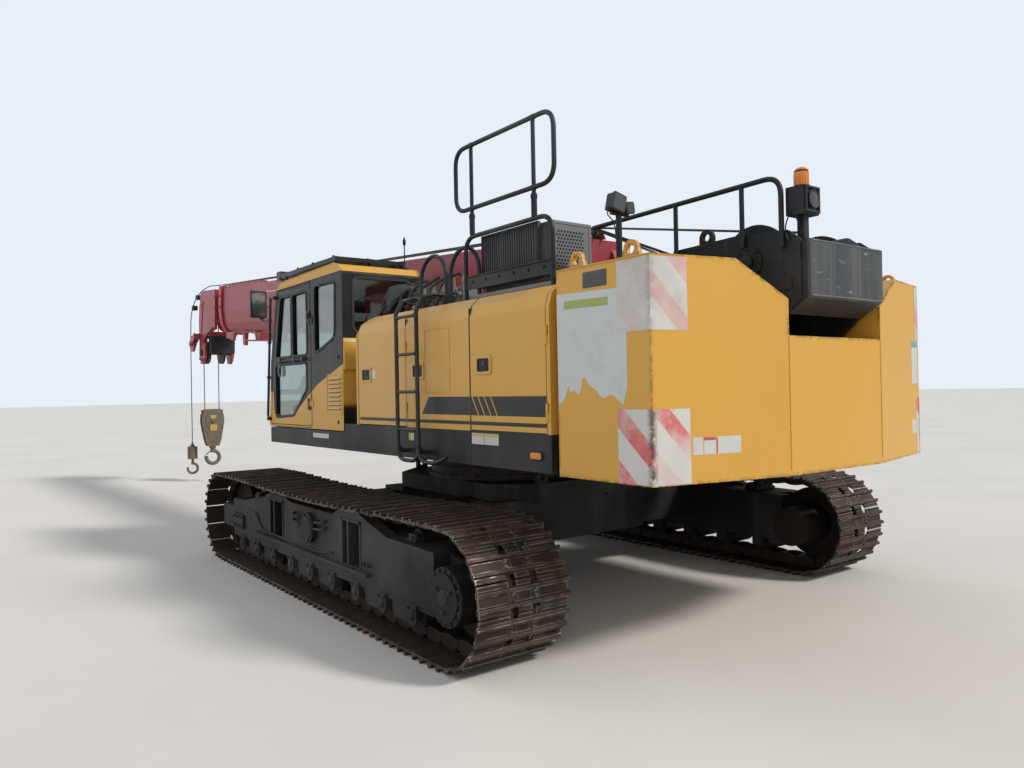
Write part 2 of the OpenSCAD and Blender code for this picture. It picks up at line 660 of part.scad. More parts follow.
module seat() color("#2b2c2e") upper() {
    mid_y = cab_in + cab_w / 2;
    // pedestal, cushion and back with its head rest
    block(1180, 1560, mid_y - 160, mid_y + 160, cab_low + wall_t, 1720);
    block(1100, 1640, mid_y - 240, mid_y + 240, 1720, 1850);
    along_y(mid_y - 230, mid_y + 230) polygon([[1100, 1850], [1230, 1850], [1150, 2500], [1040, 2500]]);
    along_y(mid_y - 130, mid_y + 130) polygon([[1040, 2500], [1150, 2500], [1120, 2680], [1040, 2680]]);
    // side consoles with their levers
    for (y = [-1, 1]) {
        block(1200, 1800, mid_y + y * 310 - 55, mid_y + y * 310 + 55, cab_low + wall_t, 1900);
        rod_z(1740, mid_y + y * 310, 1900, 2060, 16);
    }
    // instrument column in front
    block(2180, 2300, mid_y - 90, mid_y + 90, cab_low + wall_t, 1950);
}

// Height of the cab roof at a place x on its straight stretch
function roof_at(x) = roof_0[1] + (roof_1[1] - roof_0[1]) * (x - roof_0[0]) / (roof_1[0] - roof_0[0]);

// Guard bars, work lamp and aerial on the cab roof
module cab_trim() color("#191a1c") upper() {
    for (y = [cab_in + 60, cab_in + cab_w / 2, side_y - 60]) {
        block(cab_rear + 220, roof_x - 60, y - 18, y + 18, cab_z + 40, cab_z + 84);
        for (x = [cab_rear + 260, roof_x - 180]) block(x, x + 40, y - 15, y + 15, roof_at(x), cab_z + 41);
    }
    for (x = [cab_rear + 220, 1100, 1500, 1900, roof_x - 100])
        block(x, x + 30, cab_in + 60, side_y - 60, cab_z + 44, cab_z + 80);
    block(roof_x + 20, roof_x + 130, side_y - 200, side_y - 60, cab_z + 30, cab_z + 130);
    block(roof_x - 90, roof_x + 30, side_y - 140, side_y - 110, cab_z + 44, cab_z + 70);
    rod_z(roof_0[0], cab_in + 80, cab_z, cab_z + 330, 6);
}

// Rails

// A round bar from a to b, and a run of bars through points
module bar(a, b, r) {
    d = b - a;
    translate(a) rotate([0, acos(d[2] / norm(d)), atan2(d[1], d[0])]) cylinder(h = norm(d),
        r = r, $fn = 24);
}
module run(points, r) {
    for (i = [1 : len(points) - 1]) bar(points[i - 1], points[i], r);
    if (len(points) > 2) for (i = [1 : len(points) - 2]) translate(points[i])
        sphere(r = r * 1.04, $fn = 24);
}
// The same run, closed to a loop
module closed_run(points, r) for (i = [0 : len(points) - 1]) {
    bar(points[i], points[(i + 1) % len(points)], r);
    translate(points[i]) sphere(r = r * 1.04, $fn = 24);
}
// A point list for a rail in the plane y, from a list of [x, z]
function in_plane(y, points) = [for (p = points) [p[0], y, p[1]]];

rail_r = 17;
ladder_y = side_y + 100;
ladder_x = [-625, -950];
rungs = [1410, 1710, 2010, 2310];
roof_z = door_top;

module ladder() color("#1a1b1d") upper() {
    for (x = ladder_x) run([[x, side_y, 1235], [x, ladder_y - 40, 1235], [x, ladder_y, 1280],
        [x, ladder_y, 2340], [x, ladder_y - 60, 2450], [x, ladder_y - 160, 2480],
        [x, roof_edge - 20, 2480], [x, roof_edge - 20, roof_z]], rail_r);
    for (z = rungs) bar([ladder_x[1], ladder_y, z], [ladder_x[0], ladder_y, z], 13);
}

// The roof rail: a low rail on two legs, and a closed loop on two posts above it
guard_y = roof_edge - 30;
rail_rear = -2325;
rail_front = -1135;
rail_low = 2885;
loop_low = 3100;
loop_top = 3583;
hoop_r = 200;
hoop_z = 2830;
// A hand hoop across x on the roof: two legs and a half ring
module hoop(x, y) {
    for (side = [-1, 1]) rod_z(x + side * hoop_r, y, roof_z, hoop_z - hoop_r, rail_r);
    translate([x, y, hoop_z - hoop_r]) rotate([90, 0, 0])
        rotate_extrude(angle = 180, $fn = smooth) translate([hoop_r, 0]) circle(r = rail_r, $fn = smooth);
}
module roof_rail() color("#1a1b1d") upper() {
    run(in_plane(guard_y, [[rail_rear + 30, roof_z], [rail_rear + 30, 2810], [rail_rear + 90, rail_low],
        [rail_front - 185, rail_low], [rail_front - 120, 2820], [rail_front - 120, roof_z]]), rail_r);
    closed_run(in_plane(guard_y, [[rail_rear + 95, loop_low], [rail_rear, loop_low + 90],
        [rail_rear, loop_top - 85], [rail_rear + 85, loop_top], [rail_front - 95, loop_top],
        [rail_front, loop_top - 93], [rail_front, loop_low + 90], [rail_front - 95, loop_low]]), rail_r);
    for (x = [rail_rear + 220, rail_front - 215])
        bar([x, guard_y, rail_low], [x, guard_y, loop_top], rail_r - 2);
    block(rail_rear + 30, rail_front - 120, guard_y - 6, guard_y + 6, roof_z + 93, roof_z + 190);
    // two hoops beside the valves
    for (x = [-715, -1180]) hoop(x, roof_edge - 66);
}

tail_y = winch_y + winch_t / 2 + rail_r;
tail_x = -3445;
tail_z = 3005;
tail_front = -1760;
module tail_rail() color("#1a1b1d") upper() {
    run(in_plane(tail_y, [[tail_front, tail_z - 32], [tail_x + 85, tail_z], [tail_x, tail_z - 62],
        [tail_x, 2560]]), rail_r);
    for (x = [-2600, -3155]) bar([x, tail_y, 2600], [x, tail_y, tail_z - 12], rail_r);
    // front post on a foot bar, and a thin stay from the rail's front end to the cheek
    run(in_plane(tail_y, [[-2050, tail_z - 24], [-2050, 2620], [-2570, 2590]]), rail_r);
    bar([tail_front, tail_y, tail_z - 32], [-2560, tail_y, 2640], 10);
    // lamp pole on the counterweight with two work lamps
    bar([-2590, side_y - 500, weight_top], [-2590, side_y - 500, 2900], 22);
    for (y = [side_y - 540, side_y - 440]) block(-2640, -2580, y - 50, y + 40, 2860, 2980);
}

module beacon() color("#1b1c1e") upper() {
    block(-3555, -3505, 326, 374, 2590, 2760);
    block(-3590, -3465, 270, 430, 2750, 2925);
    rod_z(-3525, 350, 2924, 3030, 43);
}

module side_mirror() color("#1b1c1e") upper() {
    for (p = [[face_x(2780) - 34, 2780], [front_x - 40, 1430]])
        block(p[0] - 18, p[0] + 18, side_y, side_y + 40, p[1] - 18, p[1] + 18);
    run([[face_x(2780) - 34, side_y + 26, 2780], [front_x - 90, side_y, 2800],
        [front_x + 50, side_y, 1470], [front_x - 40, side_y + 26, 1430]], 14);
    bar([front_x - 80, side_y, 2700], [front_x + 230, side_y + 13, 2720], 11);
    block(front_x + 220, front_x + 250, side_y - 67, side_y + 123, 2600, 2915);
}

// Hydraulic valves on the left roof
valve_y = roof_edge - 406;
module valve_bank() color("#6f7376") upper() {
    block(-1000, 180, valve_y, valve_y + 230, roof_z, roof_z + 60);
    for (x = [-960 : 160 : 0]) {
        block(x, x + 100, valve_y + 20, valve_y + 210, roof_z + 60, roof_z + 170);
        rod_z(x + 50, valve_y + 170, roof_z + 169, roof_z + 220, 22);
    }
}

// Fuel tank and step on the right front of the deck
module right_tank() color("#1f2124") mirror([0, 1, 0]) upper() {
    block(right_front + 60, front_x - 420, well_y + 90, side_y - 70, deck_top, 1850);
    block(front_x - 400, front_x - 60, well_y + 90, side_y - 70, deck_top, 1500);
    rod_z(right_front + 240, side_y - 220, 1849, 1900, 55);
}

// Luffing cylinder, opened at its rod's eye

function boom_point(s, v, a) = [-foot_x + s * cos(a) - v * sin(a), foot_z + s * sin(a) + v * cos(a)];
eye = boom_point(eye_s, eye_v, boom_rest);
cyl_l = norm([eye[0] - cyl_x, eye[1] - cyl_z]);
cyl_a = atan2(eye[1] - cyl_z, eye[0] - cyl_x);
// The boom's lugs reach out to lug_out, and the rod's fork stands beside them
lug_mid = 130;
lug_t = 50;
lug_out = lug_mid + lug_t / 2;
fork_in = lug_out + 6;
fork_t = 28;
fork_r = 85;
head_rear = cyl_l - 330;
head_front = cyl_l - 230;
barrel_l = head_rear - 20;

module cylinder_frame() upper() translate([cyl_x, 0, cyl_z]) rotate([0, -cyl_a, 0]) children();

module luff_barrel() color("#202225") cylinder_frame() {
    difference() {
        union() {
            rod_x(0, barrel_l, 0, 0, barrel_r);
            rod_y(0, -cheek_y + run_gap, cheek_y - run_gap, 0, 130);
            rod_x(barrel_l - 120, barrel_l, 0, 0, barrel_r + 18);
        }
        rod_x(200, barrel_l + 1, 0, 0, rod_r + run_gap);
    }
    rod_y(0, -cheek_y - cheek_t, cheek_y + cheek_t, 0, pin_r);
}
module luff_rod() color("#b9bcbf") cylinder_frame() {
    rod_x(320, head_rear + 1, 0, 0, rod_r);
    block(head_rear, head_front, -fork_in - fork_t, fork_in + fork_t, -90, 90);
    // fork plates beside the lugs, with a bore at the pin
    for (side = [-1, 1]) on_side(side) difference() {
        union() {
            block(head_front - 1, cyl_l, fork_in, fork_in + fork_t, -fork_r, fork_r);
            rod_y(cyl_l, fork_in, fork_in + fork_t, 0, fork_r);
        }
        rod_y(cyl_l, fork_in - 1, fork_in + fork_t + 1, 0, 45);
    }
}

// Boom

// A section's outline at a distance t inside the base section's skin: [y, v], with a bent bottom
bend = [[1, 0.49], [0.9, 0.22], [0.68, 0.06], [0.4, 0]];
function boom_section(t) = let (w = boom_w / 2 - t, h = boom_h - 2 * t, low = boom_low + t)
    concat([[-w, low + h], [w, low + h]], [for (p = bend) [p[0] * w, low + p[1] * h]],
        [for (i = [len(bend) - 1 : -1 : 0]) [-bend[i][0] * w, low + bend[i][1] * h]]);
module section(s0, s1, i) difference() {
    along_x(s0, s1) polygon(boom_section(i * section_step));
    along_x(s0 - 1, s1 + 1) polygon(boom_section(i * section_step + section_t));
}
// A collar at a section's front end, with pads that carry the next section
module collar(s0, s1, i) difference() {
    along_x(s0, s1) polygon(boom_section(i * section_step - collar_t));
    along_x(s0 - 1, s1 + 1) polygon(boom_section((i + 1) * section_step - run_gap));
}
collar_s = base_l - collar_l;

module boom_base() color("#7c1f33") boom_frame() difference() {
    union() {
        section(root_s, base_l - 20, 0);
        collar(collar_s, base_l, 0);
        // closed root with the foot brackets
        along_x(root_s, root_s + 30) polygon(boom_section(0));
        for (y = [-1, 1]) along_y(y * (boom_w / 2 - 40) - 40, y * (boom_w / 2 - 40) + 40)
            polygon([[-130, -60], [-130, 60], [-60, 130], [root_s + 1, 620],
                [root_s + 500, boom_low + 100], [root_s + 500, boom_low + 30],
                [60, -130], [-60, -130]]);
        rod_y(0, -cheek_y + run_gap, cheek_y - run_gap, 0, 110);
        // lugs that carry the cylinder's pin
        for (y = [-1, 1]) along_y(y * lug_mid - lug_t / 2, y * lug_mid + lug_t / 2)
            polygon([[eye_s - 330, boom_low + 10], [eye_s - 100, eye_v - 60],
                [eye_s - 40, eye_v - 100], [eye_s + 40, eye_v - 100],
                [eye_s + 100, eye_v - 60], [eye_s + 330, boom_low + 10]]);
        rod_y(eye_s, -lug_out, lug_out, eye_v, pin_r);
        rod_y(0, -cheek_y - cheek_t, cheek_y + cheek_t, 0, pin_r);
        // stay of the hoses below the front end and rope guide on top
        along_y(-150, 150) polygon([[base_l - 1760, boom_low + 5], [base_l - 1560, boom_low - 130],
            [base_l - 1500, boom_low - 130], [base_l - 1400, boom_low + 5]]);
        along_y(-60, 60) polygon([[base_l - 1560, boom_top - 5], [base_l - 1440, boom_top + 90],
            [base_l - 160, boom_top + 90], [base_l - 60, boom_top - 5]]);
    }
    // the sections slide behind the closed root
    along_x(root_s + 30, base_l - collar_l) polygon(boom_section(section_t));
}
module boom_second() color("#85243a") boom_frame() {
    section(root_s + 90, base_l + stage - 20, 1);
    collar(base_l + stage - collar_l, base_l + stage, 1);
}
module boom_third() color("#85243a") boom_frame() {
    section(root_s + 150, base_l + 2 * stage - 20, 2);
    collar(base_l + 2 * stage - collar_l, base_l + 2 * stage, 2);
}

// The head section ends in two plates that hold the sheaves
head_y = boom_w / 2 - 22;
// Distance from the single-line sheave's middle to its arms, and their thickness
arm_y = 42;
arm_t = 20;
head_plate = [[head_s, boom_top], [head_l + 20, boom_top], [head_l + 110, boom_top - 80],
    [head_l + 150, 100], [head_l + 150, -560],
    [head_l + 60, -720], [head_l - 80, -720], [head_l - 210, -560], [head_l - 240, -180],
        [head_s + 60, boom_low + 60], [head_s, boom_low + 60]];
module boom_head() color("#7c1f33") boom_frame() {
    difference() {
        union() {
            section(root_s + 210, head_s + 20, 3);
            // plates and the closed end
            along_x(head_s - 10, head_s + 40) polygon(boom_section(10));
            for (y = [-1, 1]) along_y(y * head_y - 22, y * head_y + 22) polygon(head_plate);
            along_y(-head_y, head_y) polygon([[head_l - 20, boom_top - 60],
                [head_l + 20, boom_top - 10], [head_l + 100, boom_top - 90], [head_l + 60, 100]]);
            along_y(-head_y, head_y) polygon([[head_s, boom_top - 40], [head_s, boom_top - 1],
                [head_l, boom_top - 1], [head_l, boom_top - 40]]);
            // black sheave guard under the boom, on a beam between the plates
            along_y(-head_y, head_y) polygon([[head_l - 430, -90], [head_l - 260, -130],
                [head_l - 260, -172], [head_l - 430, -172]]);
            along_y(40 - head_y, head_y - 40) polygon([[head_l - 430, -171], [head_l - 260, -171],
                [head_l - 260, -500], [head_l - 430, -500]]);
            // arms of the single-line sheave, on a tube through the left plate
            for (y = [fly_y - arm_y, fly_y + arm_y]) along_y(y - arm_t / 2, y + arm_t / 2)
                polygon([[head_l + 60, -120], [head_l + 60, -235], [aux_s + 40, aux_v - 60],
                    [aux_s + 70, aux_v + 30], [aux_s, aux_v + 70]]);
            rod_y(head_l + 100, -head_y, fly_y + arm_y + arm_t / 2, -180, 50);
        }
        rod_y(head_l, -side_y, side_y, sheave_v, 40 + run_gap);
        rod_y(aux_s, -side_y, side_y, aux_v, 26 + run_gap);
    }
    rod_y(aux_s, fly_y - arm_y - arm_t, fly_y + arm_y + arm_t, aux_v, 26);
    difference() {
        sheave(aux_s, fly_y, aux_v, aux_r, 20);
        rod_y(aux_s, fly_y - 21, fly_y + 21, aux_v, 26 + run_gap);
    }
}

// A grooved sheave on an axle along y, with its rope's centre line at the radius r
module sheave(s, y, v, r, t) difference() {
    rod_y(s, y - t, y + t, v, r + rope_r);
    translate([s, y, v]) rotate([90, 0, 0]) rotate_extrude($fn = smooth) {
        translate([r, 0]) circle(r = rope_r + run_gap, $fn = smooth);
        translate([r, -rope_r - run_gap]) square([rope_r + 1, 2 * (rope_r + run_gap)]);
    }
}
module head_sheaves() color("#3a3b3d") boom_frame() {
    rod_y(head_l, -head_y - 22, head_y + 22, sheave_v, 40);
    for (y = [hook_y - fall_gap, hook_y + fall_gap]) sheave(head_l, y, sheave_v, sheave_r, 24);
}

// Hook blocks, hanging straight down from the head

head_at = boom_point(head_l, sheave_v, boom_rest);
fly_at = boom_point(aux_s, aux_v, boom_rest);
fall_x = head_at[0] + sheave_r;
fly_x = fly_at[0] + aux_r;

module main_falls() color("#3c3a37") upper() {
    for (y = [hook_y - fall_gap, hook_y + fall_gap]) rod_z(fall_x, y, block_top - 260, head_at[1], rope_r);
}
module aux_fall() color("#3c3a37") upper() rod_z(fly_x, fly_y, 610, fly_at[1], rope_r);
// Cheek outline of the hook block, seen along the boom: [y, z]
block_cheek = [[-110, block_low], [110, block_low], [150, 820], [block_wide, 1180], [205, 1320],
    [150, block_top], [-150, block_top], [-205, 1320], [-block_wide, 1180], [-150, 820]];
module hook_block() color("#6a6053") upper() translate([fall_x, hook_y, 0]) {
    difference() {
        union() {
            for (x = [-1, 1]) along_x(x * 62 - 14, x * 62 + 14) polygon(block_cheek);
            rod_x(-84, 84, 0, 1210, 45);
            rod_x(-30, 30, 0, 1210, block_sheave_r);
            along_x(-50, 50) polygon([[-100, block_low + 5], [100, block_low + 5], [120, 860],
                [-120, 860]]);
        }
        rod_z(0, 0, block_low - 10, block_low + 100, 30);
    }
}
// A hook's round bar, from its shank down and round to a tip beside it
module hook(y_mid, z_mid, r, t) translate([0, y_mid, z_mid]) rotate([0, 90, 0]) rotate([0, 0, 165])
    rotate_extrude(angle = 300, $fn = smooth) translate([r, 0]) circle(r = t, $fn = smooth);
module main_hook() color("#5d5347") upper() translate([fall_x, hook_y, 0]) {
    rod_z(0, 0, 600, block_low + 60, 30 - run_gap);
    rod_z(0, 0, block_low - 50, block_low - run_gap, 60);
    hook(0, 480, 125, 36);
}
module aux_hook() color("#7b7061") upper() translate([fly_x, fly_y, 0]) {
    difference() {
        rod_z(0, 0, 450, 690, ball_r);
        rod_z(0, 0, 610, 700, rope_r + run_gap);
    }
    rod_z(0, 0, 380, 451, 24);
    hook(0, 262, 95, 24);
}

carbody();
slew_ring();
frame_left();
track_left();
rollers_left();
frame_right();
track_right();
rollers_right();
turntable();
skirt();
hood_frame();
engine();
radiator_box();
counterweight();
winch_frame();
main_drum();
aux_drum();
cab_shell();
cab_glass();
cab_door();
door_glass();
seat();
cab_trim();
ladder();
roof_rail();
tail_rail();
beacon();
side_mirror();
valve_bank();
right_tank();
hood_door_front_left();
hood_door_rear_left();
hood_door_front_right();
hood_door_rear_right();
luff_barrel();
luff_rod();
boom_base();
boom_second();
boom_third();
boom_head();
head_sheaves();
main_falls();
hook_block();
main_hook();
aux_fall();
aux_hook();
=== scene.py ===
"""Looks of a telescopic crawler crane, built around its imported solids. Metres, in the shared frame."""

import math
import random
from itertools import product

import bmesh
import bpy
from mathutils import Matrix, Vector


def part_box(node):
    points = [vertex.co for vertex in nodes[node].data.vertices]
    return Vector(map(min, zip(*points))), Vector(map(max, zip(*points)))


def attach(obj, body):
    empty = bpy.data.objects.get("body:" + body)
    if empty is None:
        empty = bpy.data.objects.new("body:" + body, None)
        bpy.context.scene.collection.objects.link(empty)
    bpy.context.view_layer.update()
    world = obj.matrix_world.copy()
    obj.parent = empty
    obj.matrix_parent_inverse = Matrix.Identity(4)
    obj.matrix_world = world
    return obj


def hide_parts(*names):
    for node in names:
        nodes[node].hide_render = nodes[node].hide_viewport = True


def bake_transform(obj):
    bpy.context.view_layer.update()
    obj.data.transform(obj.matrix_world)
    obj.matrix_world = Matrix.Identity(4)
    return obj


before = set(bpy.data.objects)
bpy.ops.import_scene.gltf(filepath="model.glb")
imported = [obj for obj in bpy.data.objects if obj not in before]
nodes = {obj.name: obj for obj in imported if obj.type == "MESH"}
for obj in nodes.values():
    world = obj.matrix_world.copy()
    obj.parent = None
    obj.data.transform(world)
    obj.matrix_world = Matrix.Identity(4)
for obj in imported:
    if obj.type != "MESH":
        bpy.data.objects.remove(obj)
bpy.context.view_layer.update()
draw = random.Random(7)

# Places shared with the solids: the slewing axis, the boom's foot pin and slope, the hood's side skin and
# roof, and the corner where the counterweight's side meets its rear face
ring_low, ring_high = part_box("slew_ring")
SLEW = (ring_low.x + ring_high.x) / 2
UPPER = Matrix.Translation((SLEW, 0, 0))
FOOT_X, FOOT_Z = -1.5, 2.3
SLOPE = math.radians(3.8)
BOOM = UPPER @ Matrix.Translation((FOOT_X, 0, FOOT_Z)) @ Matrix.Rotation(-SLOPE, 4, "Y")
SKIN, ROOF = 1.5, 2.39
CORNER_X, CORNER_Y = -3.321, 1.503
AHEAD, LEFT, UP = (1, 0, 0), (0, 1, 0), (0, 0, 1)


def mirrored(side):
    """The upper's frame for side 1, and its mirror image on the right for side -1."""
    return UPPER @ Matrix.Scale(side, 4, LEFT)


# Materials

class Shader:
    """A node material whose pattern follows the piece's own coordinates."""

    def __init__(self, name):
        self.material = bpy.data.materials.new(name)
        self.material.use_nodes = True
        self.tree = self.material.node_tree
        self.tree.nodes.clear()
        self.out = self.tree.nodes.new("ShaderNodeOutputMaterial")
        self.bsdf = self.tree.nodes.new("ShaderNodeBsdfPrincipled")
        self.tree.links.new(self.bsdf.outputs[0], self.out.inputs[0])
        self.place = self.tree.nodes.new("ShaderNodeTexCoord")

    def put(self, socket, value):
        if isinstance(value, bpy.types.NodeSocket):
            self.tree.links.new(value, socket)
        elif isinstance(value, (tuple, list)) and len(value) == 3 and socket.type == "RGBA":
            socket.default_value = (*value, 1)
        else:
            socket.default_value = value

    def times(self, a, b, clamp=False):
        return self.math("MULTIPLY", a, b, clamp=clamp)

    def plus(self, a, b, clamp=False):
        return self.math("ADD", a, b, clamp=clamp)

    def minus(self, a, b, clamp=False):
        return self.math("SUBTRACT", a, b, clamp=clamp)

    def math(self, what, a, b=0.0, c=0.0, clamp=False):
        node = self.tree.nodes.new("ShaderNodeMath")
        node.operation = what
        node.use_clamp = clamp
        for socket, value in zip(node.inputs, (a, b, c)):
            self.put(socket, value)
        return node.outputs[0]

    def ramp(self, value, low, high):
        """0 at low and 1 at high, smoothly."""
        node = self.tree.nodes.new("ShaderNodeMapRange")
        node.interpolation_type = "SMOOTHSTEP"
        self.put(node.inputs["Value"], value)
        node.inputs["From Min"].default_value = low
        node.inputs["From Max"].default_value = high
        return node.outputs[0]

    def mix(self, share, a, b):
        node = self.tree.nodes.new("ShaderNodeMix")
        node.data_type = "RGBA"
        self.put(node.inputs[0], share)
        self.put(node.inputs[6], a)
        self.put(node.inputs[7], b)
        return node.outputs[2]

    def noise(self, scale, detail=5.0, stretch=(1, 1, 1), rough=0.55):
        mapping = self.tree.nodes.new("ShaderNodeMapping")
        mapping.inputs["Scale"].default_value = stretch
        self.tree.links.new(self.place.outputs["Object"], mapping.inputs["Vector"])
        node = self.tree.nodes.new("ShaderNodeTexNoise")
        node.inputs["Scale"].default_value = scale
        node.inputs["Detail"].default_value = detail
        node.inputs["Roughness"].default_value = rough
        self.tree.links.new(mapping.outputs[0], node.inputs["Vector"])
        return node.outputs[0]

    def xyz(self):
        node = self.tree.nodes.new("ShaderNodeSeparateXYZ")
        self.tree.links.new(self.place.outputs["Object"], node.inputs[0])
        return node.outputs[0], node.outputs[1], node.outputs[2]

    def up(self):
        """1 where the surface looks up, in the piece's own coordinates."""
        node = self.tree.nodes.new("ShaderNodeSeparateXYZ")
        self.tree.links.new(self.place.outputs["Normal"], node.inputs[0])
        return node.outputs[2]

    def edges(self, radius, samples=4):
        """0 on flat faces and up to 1 along edges."""
        bevel = self.tree.nodes.new("ShaderNodeBevel")
        bevel.samples = samples
        bevel.inputs["Radius"].default_value = radius
        geometry = self.tree.nodes.new("ShaderNodeNewGeometry")
        dot = self.tree.nodes.new("ShaderNodeVectorMath")
        dot.operation = "DOT_PRODUCT"
        self.tree.links.new(bevel.outputs[0], dot.inputs[0])
        self.tree.links.new(geometry.outputs["Normal"], dot.inputs[1])
        return self.ramp(self.math("SUBTRACT", 1.0, dot.outputs["Value"]), 0.02, 0.22)

    def bump(self, height, strength, distance=0.002):
        node = self.tree.nodes.new("ShaderNodeBump")
        node.inputs["Strength"].default_value = strength
        node.inputs["Distance"].default_value = distance
        self.tree.links.new(height, node.inputs["Height"])
        self.tree.links.new(node.outputs[0], self.bsdf.inputs["Normal"])

    def set(self, **values):
        for name, value in values.items():
            self.put(self.bsdf.inputs[name.replace("_", " ")], value)
        return self.material


def painted(name, colour, rough=0.4, dust=(0.30, 0.26, 0.2), dusty=0.35, worn=(0.12, 0.07, 0.04), wear=0.5,
            streaks=0.2, edge=0.008, peel=0.12, mask=None, other=None):
    """Weathered paint: uneven tone, dust that settles on top, vertical streaks and worn edges."""
    s = Shader(name)
    broad = s.noise(0.7, 4)
    fine = s.noise(11, 8, rough=0.65)
    base = colour
    if mask:
        base = s.mix(mask(s), colour, other(s) if callable(other) else other)
    dark = tuple(0.84 * c for c in (0.72, 0.7, 0.66))
    toned = s.mix(s.times(s.ramp(broad, 0.42, 0.68), 0.22, clamp=True), base, dark)
    toned = s.mix(0.72, toned, base)
    run = s.noise(5, 6, stretch=(1.0, 1.0, 0.07), rough=0.6)
    streak = s.times(s.ramp(run, 0.52, 0.72), streaks, clamp=True)
    toned = s.mix(streak, toned, dust)
    settled = s.times(s.ramp(s.up(), 0.2, 0.95), s.ramp(fine, 0.3, 0.75))
    toned = s.mix(s.times(settled, dusty, clamp=True), toned, dust)
    spots = s.times(s.ramp(s.noise(26, 8, rough=0.7), 0.66, 0.74), 0.6 * wear, clamp=True)
    chipped = s.times(s.edges(edge), s.ramp(s.noise(14, 9, rough=0.72), 0.46, 0.6))
    chipped = s.math("MAXIMUM", s.times(chipped, wear, clamp=True), spots)
    colour_out = s.mix(chipped, toned, worn)
    roughness = s.plus(rough, s.times(fine, 0.22), clamp=True)
    roughness = s.plus(roughness, s.times(settled, 0.25 * dusty), clamp=True)
    s.bump(s.plus(s.noise(240, 3), s.times(fine, 2.0)), peel)
    if max(colour) < 0.05:
        s.bsdf.inputs["Specular IOR Level"].default_value = 0.3
    return s.set(Base_Color=colour_out, Roughness=roughness)


def steel(name, colour, bright, rough=0.5, shine=0.8, edge=0.01, spots=(0.085, 0.038, 0.02), metal=0.4,
          rust=0.6):
    """Bare or rusty steel with bright edges."""
    s = Shader(name)
    patches = s.ramp(s.noise(6, 9, rough=0.7), 0.4, 0.66)
    grain = s.noise(60, 7, rough=0.7)
    base = s.mix(s.times(patches, rust, clamp=True), colour, spots)
    base = s.mix(s.times(grain, 0.35), base, tuple(c * 0.45 for c in colour))
    rub = s.times(s.edges(edge), s.ramp(s.noise(9, 7), 0.35, 0.6))
    rub = s.times(rub, shine, clamp=True)
    s.bump(grain, 0.35, 0.003)
    roughness = s.minus(rough + 0.15, s.times(rub, 0.35), clamp=True)
    metallic = s.math("MAXIMUM", metal, rub)
    return s.set(Base_Color=s.mix(rub, base, bright), Roughness=roughness, Metallic=metallic)


YELLOW = (0.64, 0.345, 0.05)
BLACK = (0.009, 0.0105, 0.013)
RED = (0.30, 0.016, 0.036)
DUST = (0.26, 0.235, 0.195)

RED_LOOK = {"rough": 0.32, "dust": (0.34, 0.16, 0.16), "dusty": 0.35, "streaks": 0.12,
            "worn": (0.12, 0.05, 0.04), "wear": 0.4}
yellow = painted("yellow_paint", YELLOW, rough=0.3, dusty=0.25, streaks=0.12, worn=(0.09, 0.05, 0.03),
                 wear=0.45)
black = painted("black_paint", BLACK, rough=0.38, dust=DUST, dusty=0.16, streaks=0.05,
                worn=(0.10, 0.09, 0.085), wear=0.35)
frame_black = painted("undercarriage_paint", (0.010, 0.0105, 0.011), rough=0.5, dust=(0.13, 0.115, 0.095),
                      dusty=0.4, streaks=0.3, worn=(0.13, 0.1, 0.075), wear=0.5, peel=0.3)
red = painted("boom_paint", RED, **RED_LOOK)
rail_paint = painted("rail_paint", (0.012, 0.013, 0.016), rough=0.34, dusty=0.12, streaks=0.0,
                     worn=(0.16, 0.15, 0.14), wear=0.3, edge=0.004)
grey_paint = painted("grey_paint", (0.15, 0.155, 0.16), rough=0.5, dust=(0.3, 0.28, 0.25), dusty=0.4,
                     streaks=0.25, worn=(0.08, 0.06, 0.05), wear=0.4)
pale_grey = painted("pale_grey_paint", (0.17, 0.18, 0.19), rough=0.5, dusty=0.3, streaks=0.2, wear=0.35)
guard_grey = painted("faded_guard_paint", (0.10, 0.108, 0.116), rough=0.55, dust=(0.3, 0.3, 0.29), dusty=0.5,
                     streaks=0.4, worn=(0.36, 0.36, 0.35), wear=0.35)
engine_paint = painted("engine_paint", (0.12, 0.125, 0.13), rough=0.55, dusty=0.4)
shoe_steel = steel("shoe_steel", (0.030, 0.021, 0.017), (0.46, 0.41, 0.36), rough=0.5, shine=0.85,
                   edge=0.012)
chain_steel = steel("chain_steel", (0.028, 0.024, 0.02), (0.2, 0.17, 0.14), rough=0.55, shine=0.35)
roller_steel = steel("roller_steel", (0.014, 0.0125, 0.0115), (0.18, 0.155, 0.13), rough=0.5, shine=0.3,
                     spots=(0.035, 0.02, 0.013), rust=0.35)
ring_steel = steel("bearing_steel", (0.05, 0.045, 0.04), (0.3, 0.28, 0.26), rough=0.45, shine=0.5)
hook_steel = steel("hook_steel", (0.17, 0.145, 0.115), (0.36, 0.32, 0.27), rough=0.6, shine=0.5,
                   spots=(0.16, 0.1, 0.06), metal=0.2)
sheave_steel = steel("sheave_steel", (0.07, 0.068, 0.064), (0.3, 0.29, 0.27), rough=0.5, shine=0.5)
chrome = steel("cylinder_chrome", (0.62, 0.63, 0.65), (0.8, 0.8, 0.8), rough=0.05, shine=0.2, metal=0.95,
               rust=0.04)


